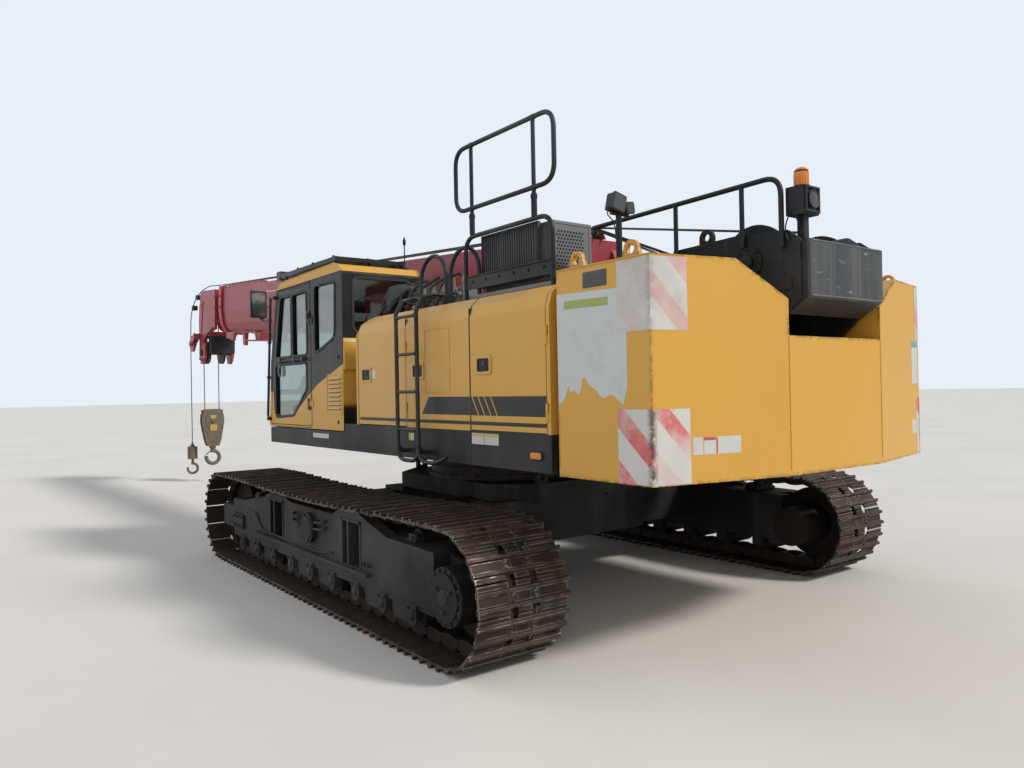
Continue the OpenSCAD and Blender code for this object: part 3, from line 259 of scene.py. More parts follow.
def rope_material():
    """Greased wire rope: dark strands twisted round the line."""
    s = Shader("wire_rope")
    wave = s.tree.nodes.new("ShaderNodeTexWave")
    wave.wave_type = "BANDS"
    wave.bands_direction = "DIAGONAL"
    wave.inputs["Scale"].default_value = 70
    wave.inputs["Distortion"].default_value = 0.6
    s.tree.links.new(s.place.outputs["Object"], wave.inputs["Vector"])
    strands = wave.outputs["Fac"]
    s.bump(strands, 0.6, 0.002)
    colour = s.mix(strands, (0.018, 0.016, 0.014), (0.11, 0.1, 0.09))
    return s.set(Base_Color=colour, Roughness=0.5, Metallic=0.5)


def rubber_material(name, colour=(0.012, 0.012, 0.013), rough=0.62):
    """Rubber or plastic with dust in patches."""
    s = Shader(name)
    fine = s.noise(90, 6)
    dusty = s.times(s.ramp(s.noise(7, 6), 0.45, 0.75), 0.3)
    s.bump(fine, 0.25, 0.001)
    return s.set(Base_Color=s.mix(dusty, colour, (0.09, 0.08, 0.07)), Roughness=rough)


def clear_material(name, colour):
    """Tinted glass that light passes straight through, with a faint mirror image at low angles."""
    s = Shader(name)
    film = s.times(s.ramp(s.noise(2.4, 6), 0.35, 0.8), 0.3)
    through = s.tree.nodes.new("ShaderNodeBsdfTransparent")
    s.put(through.inputs[0], s.mix(film, colour, (0.79, 0.81, 0.79)))
    shine = s.tree.nodes.new("ShaderNodeLayerWeight")
    shine.inputs["Blend"].default_value = 0.5
    low_angle = s.math("POWER", shine.outputs["Facing"], 3.0)
    both = s.tree.nodes.new("ShaderNodeMixShader")
    s.put(both.inputs[0], s.plus(0.09, s.times(low_angle, 0.5), clamp=True))
    s.tree.links.new(through.outputs[0], both.inputs[1])
    s.tree.links.new(s.bsdf.outputs[0], both.inputs[2])
    s.tree.links.new(both.outputs[0], s.out.inputs[0])
    return s.set(Base_Color=(0.8, 0.85, 0.85), Roughness=0.03, Metallic=1.0)


def glass_material(name, colour, alpha):
    """A coloured lens with a thin film of dust."""
    s = Shader(name)
    film = s.times(s.ramp(s.noise(2.4, 6), 0.35, 0.8), 0.12)
    tint = s.mix(film, colour, (0.4, 0.42, 0.4))
    s.material.surface_render_method = "BLENDED"
    return s.set(Base_Color=tint, Roughness=0.04, Alpha=alpha)


def sticker_material(name, colour, dirt=(0.42, 0.39, 0.34), amount=0.45, rough=0.45):
    """A label, plate or tape of one colour, with grime on it, or a flat patch of painted shade in an opening.
    """
    s = Shader(name)
    grime = s.times(s.ramp(s.noise(7, 8, rough=0.65), 0.45, 0.75), amount)
    s.bump(s.noise(35, 4), 0.1, 0.001)
    return s.set(Base_Color=s.mix(grime, colour, dirt), Roughness=rough)


def chevron_material():
    """Faded red and white slanted stripes: bleached high on the side, rubbed off low at the rear,
    scratched, and scraped to rust along the weight's corner."""
    s = Shader("chevron_stripes")
    x, y, z = s.xyz()
    along = s.minus(x, SLEW)
    slant, pitch, start = 0.92, 0.33, -3.687
    run = s.minus(z, s.times(s.plus(along, y), slant))
    bend = s.times(s.noise(5, 6), 0.012)
    turns = s.times(s.minus(s.plus(run, bend), start), 1 / pitch)
    saw = s.math("FRACT", turns)
    stripe = s.times(s.ramp(saw, 0.005, 0.025), s.minus(1.0, s.ramp(saw, 0.45, 0.47)))
    fade = s.ramp(s.noise(4.5, 8, rough=0.7), 0.32, 0.62)
    low = s.ramp(z, 2.0, 1.75)
    colour_left = s.times(s.times(fade, 0.5), s.plus(0.5, low))
    strength = s.times(stripe, s.plus(0.18, colour_left), clamp=True)
    on_side = s.ramp(along, -3.33, -3.315)
    bleached = s.times(on_side, s.ramp(z, 1.75, 1.95))
    rubbed = s.times(s.minus(1.0, on_side), s.ramp(z, 1.46, 1.32))
    gone = s.times(s.plus(bleached, rubbed, clamp=True), 0.8)
    strength = s.times(strength, s.minus(1.0, gone))
    ground = s.mix(s.ramp(s.noise(3, 5), 0.4, 0.8), (0.60, 0.58, 0.54), (0.46, 0.44, 0.41))
    colour = s.mix(strength, ground, (0.62, 0.085, 0.09))
    scratch = s.ramp(s.noise(3.5, 9, stretch=(2.0, 2.0, 13.0), rough=0.75), 0.64, 0.68)
    colour = s.mix(s.times(scratch, 0.7), colour, (0.16, 0.1, 0.06))
    off_x = s.math("ABSOLUTE", s.minus(along, CORNER_X))
    from_corner = s.plus(off_x, s.minus(CORNER_Y, s.math("ABSOLUTE", y)))
    scraped = s.times(s.ramp(from_corner, 0.05, 0.0), s.ramp(s.noise(22, 10, rough=0.75), 0.42, 0.52))
    less_high = s.minus(0.9, s.times(s.ramp(z, 1.6, 2.0), 0.6))
    colour = s.mix(s.times(scraped, less_high), colour, (0.1, 0.045, 0.02))
    return s.set(Base_Color=colour, Roughness=0.5)


def striped_counterweight():
    """The counterweight's yellow, with rust and scrapes along the corner where the rear face begins."""
    s = Shader("counterweight_paint")
    broad = s.noise(0.6, 4)
    fine = s.noise(10, 8, rough=0.65)
    base = s.mix(s.times(s.ramp(broad, 0.45, 0.7), 0.2), YELLOW, (0.55, 0.29, 0.06))
    corner = s.edges(0.05, 6)
    ragged = s.ramp(s.noise(22, 10, rough=0.75), 0.44, 0.54)
    scraped = s.times(corner, ragged)
    lines = s.ramp(s.noise(2.6, 9, stretch=(1.4, 1.4, 18.0), rough=0.75), 0.665, 0.69)
    low = s.ramp(s.xyz()[2], 1.75, 1.3)
    scraped = s.math("MAXIMUM", scraped, s.times(lines, s.plus(0.15, low), clamp=True))
    settled = s.times(s.ramp(s.up(), 0.2, 0.95), s.ramp(fine, 0.3, 0.75))
    base = s.mix(s.times(settled, 0.4), base, DUST)
    colour = s.mix(s.times(scraped, 0.85), base, (0.1, 0.045, 0.02))
    s.bump(s.plus(s.times(s.noise(2.2, 3), 2.0), s.times(fine, 0.5)), 0.12, 0.006)
    return s.set(Base_Color=colour, Roughness=s.plus(0.3, s.times(fine, 0.2)))


def cab_mask(s):
    """1 where the cab is yellow: below a bent line on its side, save a dark foot, and above the windows."""
    x, y, z = s.xyz()
    along = s.minus(x, SLEW)
    curve = s.tree.nodes.new("ShaderNodeFloatCurve")
    points = [(0.0, 0.53), (0.19, 0.53), (0.40, 0.40), (0.57, 0.235), (0.64, 0.19), (0.803, 0.19),
              (0.809, 0.36), (1.0, 0.36)]
    line = curve.mapping.curves[0]
    while len(line.points) > 2:
        line.points.remove(line.points[1])
    line.points[0].location = points[0]
    line.points[-1].location = points[-1]
    for p in points[1:-1]:
        line.points.new(*p)
    for p in line.points:
        p.handle_type = "VECTOR"
    curve.mapping.update()
    s.tree.links.new(s.times(along, 1 / 3.0), curve.inputs["Value"])
    edge = s.plus(1.20, s.times(curve.outputs[0], 1.5))
    below = s.ramp(s.minus(edge, z), -0.002, 0.002)
    dark_foot = s.times(s.ramp(along, 0.604, 0.601), s.ramp(z, 1.63, 1.56))
    below = s.times(below, s.minus(1.0, dark_foot))
    roof = s.ramp(z, 2.872, 2.876)
    return s.math("MAXIMUM", below, roof)


def guard_mask(s):
    """1 on the rear face of the sheet behind the rear winch."""
    return s.ramp(s.minus(s.xyz()[0], SLEW), -3.598, -3.602)


def guard_tone(s):
    """Faded grey with pale runs and scratches."""
    runs = s.ramp(s.noise(6, 7, stretch=(1.0, 1.0, 0.12), rough=0.65), 0.45, 0.7)
    tone = s.mix(s.times(runs, 0.6), (0.05, 0.056, 0.062), (0.115, 0.12, 0.122))
    scratches = s.ramp(s.noise(9, 9, stretch=(1.0, 0.6, 2.2), rough=0.78), 0.62, 0.655)
    return s.mix(s.times(scratches, 0.75), tone, (0.5, 0.5, 0.48))


def intake_mask(s):
    """1 on the dark side panel of the intake box."""
    return s.ramp(s.xyz()[1], 1.249, 1.2495)


def sheave_guard_mask(s):
    """1 on the black box behind the boom head's sheaves."""
    x, y, z = s.xyz()
    c, k = math.cos(SLOPE), math.sin(SLOPE)
    along = s.minus(x, SLEW + FOOT_X)
    rise = s.minus(z, FOOT_Z)
    far = s.plus(s.times(along, c), s.times(rise, k))
    high = s.minus(s.times(rise, c), s.times(along, k))
    below = s.times(s.ramp(high, -0.169, -0.17), s.ramp(far, 10.82, 10.81))
    return s.times(below, s.ramp(s.math("ABSOLUTE", y), 0.2205, 0.22))


winch_paint = painted("winch_paint", BLACK, rough=0.4, dust=DUST, dusty=0.2, streaks=0.12,
                      worn=(0.12, 0.1, 0.09), wear=0.4, mask=guard_mask, other=guard_tone)
intake_paint = painted("intake_paint", (0.15, 0.16, 0.17), rough=0.45, dusty=0.25, streaks=0.2, wear=0.35,
                       mask=intake_mask, other=(0.012, 0.016, 0.024))
head_paint = painted("head_paint", RED, **RED_LOOK, mask=sheave_guard_mask, other=BLACK)
cab_paint = painted("cab_paint", BLACK, rough=0.32, dusty=0.2, streaks=0.05, wear=0.3, worn=(0.1, 0.08, 0.06),
                    mask=cab_mask, other=YELLOW)
weight_paint = striped_counterweight()
rope = rope_material()
rubber = rubber_material("black_rubber")
hose = rubber_material("hydraulic_hose", (0.016, 0.016, 0.018), 0.5)
plastic = rubber_material("black_plastic", (0.02, 0.02, 0.022), 0.45)
glass = clear_material("cab_glass", (0.65, 0.72, 0.70))
mirror_glass = steel("mirror_glass", (0.55, 0.58, 0.6), (0.6, 0.6, 0.6), rough=0.02, shine=0.1, metal=0.95,
                     rust=0.05)
amber = glass_material("amber_lens", (0.75, 0.24, 0.02), 0.92)
clear_lens = glass_material("lamp_lens", (0.5, 0.52, 0.53), 0.8)
dark_lens = glass_material("dark_lens", (0.06, 0.066, 0.076), 0.9)
white_label = sticker_material("white_label", (0.56, 0.56, 0.53))
paper = sticker_material("notice_paper", (0.55, 0.57, 0.56), amount=0.3)
green_label = sticker_material("green_strip", (0.33, 0.38, 0.10))
yellow_label = sticker_material("label_yellow", (0.55, 0.42, 0.06))
decal_black = sticker_material("decal_black", (0.009, 0.01, 0.012), dirt=(0.05, 0.045, 0.04), amount=0.4)
dark_plate = sticker_material("dark_plate", (0.05, 0.055, 0.06), dirt=(0.16, 0.13, 0.09), amount=0.6)
# near-black patches where holes and slots are: painted shade of the insides seen through the openings
painted_shade_openings = sticker_material("painted_shade_opening", (0.006, 0.006, 0.007), dirt=(0.02, 0.02, 0.02))
pink_red = painted("faded_red_paint", (0.44, 0.05, 0.08), rough=0.4, dusty=0.3, wear=0.3)
brass = steel("brass_fitting", (0.4, 0.3, 0.12), (0.6, 0.5, 0.3), rough=0.35, metal=0.8, rust=0.2)
chevrons = chevron_material()


def seat_fabric():
    """Woven dark upholstery."""
    s = Shader("seat_fabric")
    weave = s.tree.nodes.new("ShaderNodeTexWave")
    weave.inputs["Scale"].default_value = 260
    s.tree.links.new(s.place.outputs["Object"], weave.inputs["Vector"])
    cross = s.tree.nodes.new("ShaderNodeTexWave")
    cross.bands_direction = "Y"
    cross.inputs["Scale"].default_value = 260
    s.tree.links.new(s.place.outputs["Object"], cross.inputs["Vector"])
    threads = s.times(weave.outputs["Fac"], cross.outputs["Fac"])
    s.bump(threads, 0.4, 0.001)
    colour = s.mix(threads, (0.02, 0.021, 0.024), (0.07, 0.072, 0.08))
    s.bsdf.inputs["Sheen Weight"].default_value = 0.3
    return s.set(Base_Color=colour, Roughness=0.85)


fabric = seat_fabric()

LOOKS = (
    (frame_black, "carbody frame_left frame_right turntable"),
    (ring_steel, "slew_ring"),
    (shoe_steel, "track_left track_right"),
    (roller_steel, "rollers_left rollers_right"),
    (black, "skirt main_drum aux_drum right_tank luff_barrel"),
    (yellow, "hood_frame hood_door_front_left hood_door_rear_left"),
    (yellow, "hood_door_front_right hood_door_rear_right"),
    (engine_paint, "engine"),
    (intake_paint, "radiator_box"),
    (weight_paint, "counterweight"),
    (winch_paint, "winch_frame"),
    (cab_paint, "cab_shell cab_door"),
    (glass, "cab_glass door_glass"),
    (plastic, "seat"),
    (rail_paint, "cab_trim ladder roof_rail tail_rail beacon side_mirror"),
    (grey_paint, "valve_bank"),
    (chrome, "luff_rod"),
    (red, "boom_base boom_second boom_third"),
    (head_paint, "boom_head"),
    (sheave_steel, "head_sheaves"),
    (rope, "main_falls aux_fall"),
    (hook_steel, "hook_block main_hook aux_hook"),
)
for look, names in LOOKS:
    for name in names.split():
        nodes[name].data.materials.clear()
        nodes[name].data.materials.append(look)


# Shapes

# How two numbers in a plane and one across it become a point, for a plane across x, y or z
PLANES = {"x": lambda a, b, c: (c, a, b), "y": lambda a, b, c: (a, c, b), "z": lambda a, b, c: (a, b, c)}


class Piece:
    """Collects simple shapes into one mesh. Points are given in the frame named at the start."""

    def __init__(self, frame_matrix=UPPER):
        self.bm = bmesh.new()
        self.frame = frame_matrix

    def add(self, points, faces):
        verts = [self.bm.verts.new(self.frame @ Vector(p)) for p in points]
        for f in faces:
            face = self.bm.faces.new([verts[i] for i in f])
            face.smooth = True
        return self

    def box(self, x0, x1, y0, y1, z0, z1):
        points = [(x, y, z) for z in (z0, z1) for y in (y0, y1) for x in (x0, x1)]
        faces = [(0, 2, 3, 1), (4, 5, 7, 6), (0, 1, 5, 4), (2, 6, 7, 3), (0, 4, 6, 2), (1, 3, 7, 5)]
        return self.add(points, faces)

    def prism(self, outline, axis, low, high):
        """A flat outline drawn out along x, y or z. For x it lists (y, z), for y (x, z), for z (x, y)."""
        n = len(outline)
        points = [PLANES[axis](a, b, h) for h in (low, high) for a, b in outline]
        faces = [tuple(range(n))[::-1], tuple(range(n, 2 * n))]
        faces += [(i, (i + 1) % n, n + (i + 1) % n, n + i) for i in range(n)]
        return self.add(points, faces)

    def pad(self, u0, u1, v0, v1, r, axis, low, high):
        """A plate with round corners."""
        return self.prism(rounded_rectangle(u0, u1, v0, v1, r), axis, low, high)

    def lathe(self, base, axis, profile, n=24):
        """Turns (radius, height) points about an axis from base."""
        axis = Vector(axis).normalized()
        side = axis.orthogonal().normalized()
        other = axis.cross(side)
        points, faces, rows = [], [], []
        for r, h in profile:
            rows.append(len(points))
            if r < 1e-6:
                points.append(Vector(base) + axis * h)
                continue
            for i in range(n):
                a = 2 * math.pi * i / n
                points.append(Vector(base) + axis * h + r * (math.cos(a) * side + math.sin(a) * other))
        for k in range(len(profile) - 1):
            a, b = rows[k], rows[k + 1]
            one, two = profile[k][0] < 1e-6, profile[k + 1][0] < 1e-6
            for i in range(n):
                j = (i + 1) % n
                if one and not two:
                    faces.append((a, b + j, b + i))
                elif two and not one:
                    faces.append((a + i, a + j, b))
                elif not one and not two:
                    faces.append((a + i, a + j, b + j, b + i))
        return self.add(points, faces)

    def rod(self, a, b, r, n=20, r2=None, lip=0.0):
        """A closed round bar from a to b, with an optional chamfer."""
        a, b = Vector(a), Vector(b)
        length = (b - a).length
        r2 = r if r2 is None else r2
        profile = [(0, 0), (r, 0), (r2, length), (0, length)]
        if lip:
            profile = [(0, 0), (r - lip, 0), (r, lip), (r2, length - lip), (r2 - lip, length), (0, length)]
        return self.lathe(a, b - a, profile, n)

    def bolt(self, at, axis, r, h):
        """A hexagon head on its washer."""
        axis = Vector(axis).normalized()
        at = Vector(at)
        self.lathe(at, axis, [(0, 0), (1.35 * r, 0), (1.35 * r, 0.25 * h), (0, 0.25 * h)], 12)
        self.lathe(at + axis * 0.25 * h, axis, [(0, 0), (r, 0), (r, 0.75 * h), (0.85 * r, h), (0, h)], 6)
        return self

    def bolts(self, places, axis, r, h):
        """The same bolt at several places."""
        for at in places:
            self.bolt(at, axis, r, h)

    def bolt_circle(self, centre, axis, radius, count, r, h, start=0):
        """Bolts evenly round a centre. The axis runs along x, y or z, either way."""
        plane = PLANES["xyz"[[abs(v) for v in axis].index(1)]]
        for k in range(count):
            a = math.radians(start + 360 * k / count)
            step = plane(radius * math.cos(a), radius * math.sin(a), 0)
            self.bolt([c + d for c, d in zip(centre, step)], axis, r, h)

    def tube(self, points, r, n=10, closed=False):
        """A round tube along points."""
        points = [Vector(p) for p in points]
        count = len(points)
        rings, start = [], None
        for i, p in enumerate(points):
            if closed:
                d = points[(i + 1) % count] - points[i - 1]
            else:
                d = points[min(i + 1, count - 1)] - points[max(i - 1, 0)]
            d.normalize()
            if start is None:
                start = d.orthogonal().normalized()
            else:
                start = (start - d * start.dot(d)).normalized()
            other = d.cross(start)
            turns = [2 * math.pi * k / n for k in range(n)]
            rings.append([p + r * (math.cos(a) * start + math.sin(a) * other) for a in turns])
        flat = [q for ring in rings for q in ring]
        faces = []
        for i in range(count if closed else count - 1):
            j = (i + 1) % count
            faces += [(i * n + k, i * n + (k + 1) % n, j * n + (k + 1) % n, j * n + k) for k in range(n)]
        if not closed:
            faces += [tuple(range(n))[::-1], tuple((count - 1) * n + k for k in range(n))]
        return self.add(flat, faces)

    def bent(self, points, corner, r, n):
        """A round tube along a line with round corners."""
        return self.tube(rounded(points, corner), r, n)

    def curved(self, points, r, n):
        """A round tube along a smooth line through points."""
        return self.tube(curve_through(points), r, n)

    def make(self, name, body, material, bevel=0.0, steps=1, angle=35, slot=None, stands_for=()):
        """Turns the shapes into one object that rides on a body."""
        bmesh.ops.recalc_face_normals(self.bm, faces=self.bm.faces)
        if bevel:
            sharp = [e for e in self.bm.edges if e.calc_face_angle(0) > math.radians(angle)]
            bmesh.ops.bevel(self.bm, geom=sharp, offset=bevel, segments=steps, profile=0.6, affect="EDGES",
                            clamp_overlap=True)
        for e in self.bm.edges:
            e.smooth = e.calc_face_angle(0) < math.radians(angle)
        mesh = bpy.data.meshes.new(name)
        self.bm.to_mesh(mesh)
        self.bm.free()
        thing = bpy.data.objects.new(name, mesh)
        bpy.context.scene.collection.objects.link(thing)
        mesh.materials.append(material)
        if body:
            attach(thing, body)
        if stands_for:
            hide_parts(*stands_for)
        return thing


def rounded(points, radius, steps=5, closed=False):
    """The same line with its corners turned into arcs."""
    points = [Vector(p) for p in points]
    out = []
    count = len(points)
    for i, p in enumerate(points):
        if not closed and i in (0, count - 1):
            out.append(p)
            continue
        a = points[i - 1] - p
        b = points[(i + 1) % count] - p
        cut = min(radius, 0.45 * a.length, 0.45 * b.length)
        start = p + a.normalized() * cut
        end = p + b.normalized() * cut
        for k in range(steps + 1):
            t = k / steps
            out.append((1 - t) ** 2 * start + 2 * t * (1 - t) * p + t ** 2 * end)
    return out


def curve_through(points, steps=8):
    """A smooth line through points."""
    points = [Vector(p) for p in points]
    ends = [points[0] * 2 - points[1], *points, points[-1] * 2 - points[-2]]
    out = []
    for i in range(1, len(ends) - 2):
        a, b, c, d = ends[i - 1:i + 3]
        for k in range(steps):
            t = k / steps
            out.append(0.5 * (2 * b + (c - a) * t + (2 * a - 5 * b + 4 * c - d) * t * t
                              + (3 * b - a - 3 * c + d) * t ** 3))
    return out + [points[-1]]


def rounded_rectangle(u0, u1, v0, v1, r, steps=4):
    """Corner points of a rectangle with round corners, as pairs."""
    out = []
    corners = ((u1 - r, v1 - r), (u0 + r, v1 - r), (u0 + r, v0 + r), (u1 - r, v0 + r))
    for quarter, (cu, cv) in enumerate(corners):
        for k in range(steps + 1):
            a = math.radians(90 * quarter + 90 * k / steps)
            out.append((cu + r * math.cos(a), cv + r * math.sin(a)))
    return out


# Tracks

AXLE_SPAN, BELT_R, SHOE_R, LUG = 4.4, 0.45, 0.424, 0.026
BEND_R = SHOE_R - 0.006
SHOES = 58
LOOP = 2 * AXLE_SPAN + 2 * math.pi * SHOE_R
PITCH = LOOP / SHOES
TRACK_Y, SHOE_W = 1.87, 0.70
CARRIERS = (-1.58, 1.46)
BOLT_ROWS = (-0.085, 0.085)
SIDES = ((1, "left"), (-1, "right"))
# place of the first shoe on the loop, as a share of the pitch
FIRST_SHOE = 0.37


def droop(x):
    """How far the track's upper run hangs down at x, between the two carrier rollers."""
    if not CARRIERS[0] <= x < CARRIERS[1]:
        return 0
    t = (x - CARRIERS[0]) / (CARRIERS[1] - CARRIERS[0])
    return 0.034 * (1 - (2 * t - 1) ** 2)


def loop_frame(s):
    """Place and outward direction on the track's loop: x, z, and the angle of the outward normal."""
    half = AXLE_SPAN / 2
    arc = math.pi * SHOE_R
    s = s % LOOP
    if s < AXLE_SPAN:
        return -half + s, BELT_R - SHOE_R, -90.0
    if s < AXLE_SPAN + arc:
        a = -90 + math.degrees((s - AXLE_SPAN) / SHOE_R)
        return half + BEND_R * math.cos(math.radians(a)), BELT_R + BEND_R * math.sin(math.radians(a)), a
    if s < 2 * AXLE_SPAN + arc:
        x = half - (s - AXLE_SPAN - arc)
        slope = math.degrees(math.atan((droop(x + 0.01) - droop(x - 0.01)) / 0.02))
        return x, BELT_R + SHOE_R - droop(x), 90.0 + slope
    a = 90 + math.degrees((s - 2 * AXLE_SPAN - arc) / SHOE_R)
    return -half + BEND_R * math.cos(math.radians(a)), BELT_R + BEND_R * math.sin(math.radians(a)), a


def shoe_matrix(s, side):
    """Frame of one shoe: x along the loop, y across, z outward."""
    x, z, a = loop_frame(s)
    out = Vector((math.cos(math.radians(a)), 0, math.sin(math.radians(a))))
    along = Vector((-out.z, 0, out.x))
    m = Matrix.Identity(4)
    for i in range(3):
        m[i][0], m[i][1], m[i][2] = along[i], LEFT[i], out[i]
    m.translation = Vector((x, side * TRACK_Y, z))
    return UPPER @ m


def make_track(side, word):
    """Shoes with two lugs and four bolts each, and the chain of links and pins below them."""
    shoes = Piece()
    chain = Piece()
    half = SHOE_W / 2
    edge = 0.465 * PITCH
    short = 0.31 * PITCH
    cut = 0.018
    h = PITCH / 2
    link = [(-h - 0.018, -0.055), (-h - 0.006, -0.083), (-0.03, -0.1), (0.03, -0.1), (h - 0.006, -0.09),
            (h + 0.014, -0.062), (h - 0.01, -0.03), (0.05, -0.013), (-0.05, -0.013), (-h + 0.006, -0.03)]
    for i in range(SHOES):
        shoes.frame = chain.frame = shoe_matrix((i + FIRST_SHOE) * PITCH, side)
        for y0, y1, e in ((cut - half, -0.112, edge), (-0.112, -0.05, short), (-0.05, 0.05, edge),
                          (0.05, 0.112, short), (0.112, half - cut, edge)):
            outline = [(-e, -0.013), (-e, -0.002), (-e + 0.006, 0.002), (e - 0.006, 0.002), (e, -0.002),
                       (e, -0.013)]
            shoes.prism(outline, "y", y0, y1)
        for t in (-0.23 * PITCH, 0.23 * PITCH):
            skew = draw.uniform(-0.0012, 0.0012)
            high = LUG - draw.uniform(0, 0.0025)
            outline = [(t - 0.017, 0), (t - 0.011, high - 0.004), (t - 0.007 + skew, high),
                       (t + 0.007 + skew, high), (t + 0.011, high - 0.004), (t + 0.017, 0)]
            shoes.prism(outline, "y", -half + 0.004, half - 0.004)
        shoes.bolts(product((-0.021, 0.021), BOLT_ROWS, (0.001,)), UP, 0.011, 0.009)
        for y in BOLT_ROWS:
            chain.prism(link, "y", y - 0.017, y + 0.017)
        for y, r in ((0.108, 0.021), (0.062, 0.031)):
            chain.rod((h, -y, -0.062), (h, y, -0.062), r, 12)
    body = "track_frame_" + word
    shoes.make("track_shoes_" + word, body, shoe_steel, angle=30, slot="track_steel",
               stands_for=["track_" + word])
    chain.make("track_chain_" + word, body, chain_steel, angle=30, slot="track_steel")


for side, word in SIDES:
    make_track(side, word)


# Side frames

FACE = 2.10


def make_side_frame(side, word):
    """Fittings of one side frame on its outer face, and the rims of its idler."""
    body = "track_frame_" + word
    p = Piece(mirrored(side))
    # ramp pads under the upper run, and rims round the pockets
    p.prism([(-0.9, 0.81), (-0.87, 0.846), (-0.6, 0.846), (-0.57, 0.81)], "y", 1.88, 2.085)
    p.prism([(0.57, 0.785), (0.61, 0.825), (0.93, 0.825), (0.97, 0.785)], "y", 1.88, 2.085)
    for x in (-0.775, 0.775):
        for x0, x1, z0 in ((-0.165, -0.146, 0.38), (0.146, 0.165, 0.38), (-0.165, 0.165, 0.73)):
            p.box(x + x0, x + x1, FACE - 0.004, FACE + 0.006, z0, 0.75)
        p.box(x + 0.03, x + 0.055, 1.93, FACE + 0.01, 0.4, 0.73)
        p.box(x - 0.13, x - 0.02, 1.9, 1.925, 0.43, 0.7)
        p.bolts(product((x - 0.045, x - 0.105), (1.925,), (0.47, 0.66)), LEFT, 0.014, 0.012)
    # caps of the bottom rollers, each with its bolts, and short plates between most of them
    for i in range(9):
        x = -1.7 + 0.425 * i
        p.prism([(x - 0.062, 0.3), (x - 0.062, 0.2), (x - 0.035, 0.155), (x + 0.035, 0.155), (x + 0.062, 0.2),
                 (x + 0.062, 0.3)], "y", FACE, FACE + 0.014)
        p.lathe((x, FACE + 0.014, 0.222), LEFT, [(0, 0), (0.034, 0), (0.03, 0.012), (0, 0.012)], 16)
        p.bolts(product((x - 0.042, x + 0.042), (FACE + 0.014,), (0.272,)), LEFT, 0.011, 0.01)
        if i < 8 and i % 3 != 2:
            p.prism([(x + 0.09, 0.27), (x + 0.12, 0.15), (x + 0.305, 0.15), (x + 0.335, 0.27)], "y", 2.06,
                    2.082)
    # bent handles on both sides of the round boss, small hooks behind the rear pocket, the boss's cover
    for s, z in product((-1, 1), (0.6, 0.655)):
        p.bent([(s * 0.15, FACE, z), (s * 0.15, 2.135, z), (s * 0.31, 2.135, z + 0.01),
                (s * 0.325, 2.105, z + 0.03)], 0.02, 0.011, 8)
    for x in (-0.99, -1.03, -1.09):
        p.bent([(x, FACE, 0.45), (x, 2.13, 0.44), (x - 0.004, 2.128, 0.475)], 0.02, 0.009, 8)
    p.lathe((0, 2.135, 0.59), LEFT, [(0, 0), (0.1, 0), (0.1, 0.006), (0, 0.006)], 32)
    p.bolt_circle((0, 2.135, 0.59), LEFT, 0.108, 6, 0.01, 0.009, 15)
    # gearbox cover at the drive end, and the plate at the idler's axle
    p.bolt_circle((-2.2, 2.16, 0.45), LEFT, 0.168, 16, 0.011, 0.01)
    p.bolt_circle((-2.2, 2.175, 0.45), LEFT, 0.09, 3, 0.016, 0.012, 30)
    p.lathe((-2.2, 2.175, 0.45), LEFT, [(0, 0), (0.05, 0), (0.045, 0.01), (0, 0.01)], 20)
    p.box(1.66, 1.94, FACE, FACE + 0.02, 0.36, 0.5)
    p.bolts(product((1.7, 1.8, 1.9), (FACE + 0.02,), (0.385, 0.475)), LEFT, 0.013, 0.011)
    # caps over the carrier rollers' shafts
    for x in CARRIERS:
        p.box(x - 0.06, x + 0.06, 1.976, 2.04, 0.69, 0.712)
        p.rod((x, 1.98, 0.699), (x, 2.045, 0.699), 0.028, 16, lip=0.004)
        p.bolts(product((x - 0.035, x + 0.035), (2.01,), (0.712,)), UP, 0.01, 0.008)
    # weld beads as lines of (x, z) on the face, and a grease line
    for line in ([(-1.95, 0.3), (-1.1, 0.3), (1.2, 0.3)], [(-1.07, 0.76), (-0.9, 0.808)],
                 [(-0.44, 0.752), (0.44, 0.752)], [(1.08, 0.742), (1.62, 0.648)]):
        p.tube([(x, FACE, z) for x, z in line], 0.006, 6)
    p.bent([(1.6, 2.105, 0.56), (1.3, 2.106, 0.56), (1.15, 2.106, 0.42), (-0.2, 2.106, 0.41),
            (-0.45, 2.106, 0.45)], 0.06, 0.008, 8)
    p.make("frame_fittings_" + word, body, frame_black, bevel=0.002, angle=40, slot="undercarriage_black")
    # both faces of the front idler inside the track
    rims = Piece(mirrored(side))
    profile = [(0.09, 0), (0.13, 0.016), (0.19, 0.016), (0.21, 0.006), (0.29, 0.006), (0.3, 0)]
    for y, turn in ((1.917, 1), (1.823, -1)):
        rims.lathe((2.2, y, 0.45), (0, turn, 0), profile, 40)
    rims.make("idler_rims_" + word, body, roller_steel, slot="roller_steel")


for side, word in SIDES:
    make_side_frame(side, word)


# Hood, doors and skirt

def ring_plate(p, outer, inner, axis, low, high):
    """A flat ring between two outlines with as many points."""
    n = len(outer)
    points = [PLANES[axis](a, b, h) for h in (low, high) for loop in (outer, inner) for a, b in loop]
    faces = []
    for i in range(n):
        j = (i + 1) % n
        faces += [(i, j, n + j, n + i), (2 * n + i, 3 * n + i, 3 * n + j, 2 * n + j),
                  (i, 2 * n + i, 2 * n + j, j), (n + i, n + j, 3 * n + j, 3 * n + i)]
    p.add(points, faces)


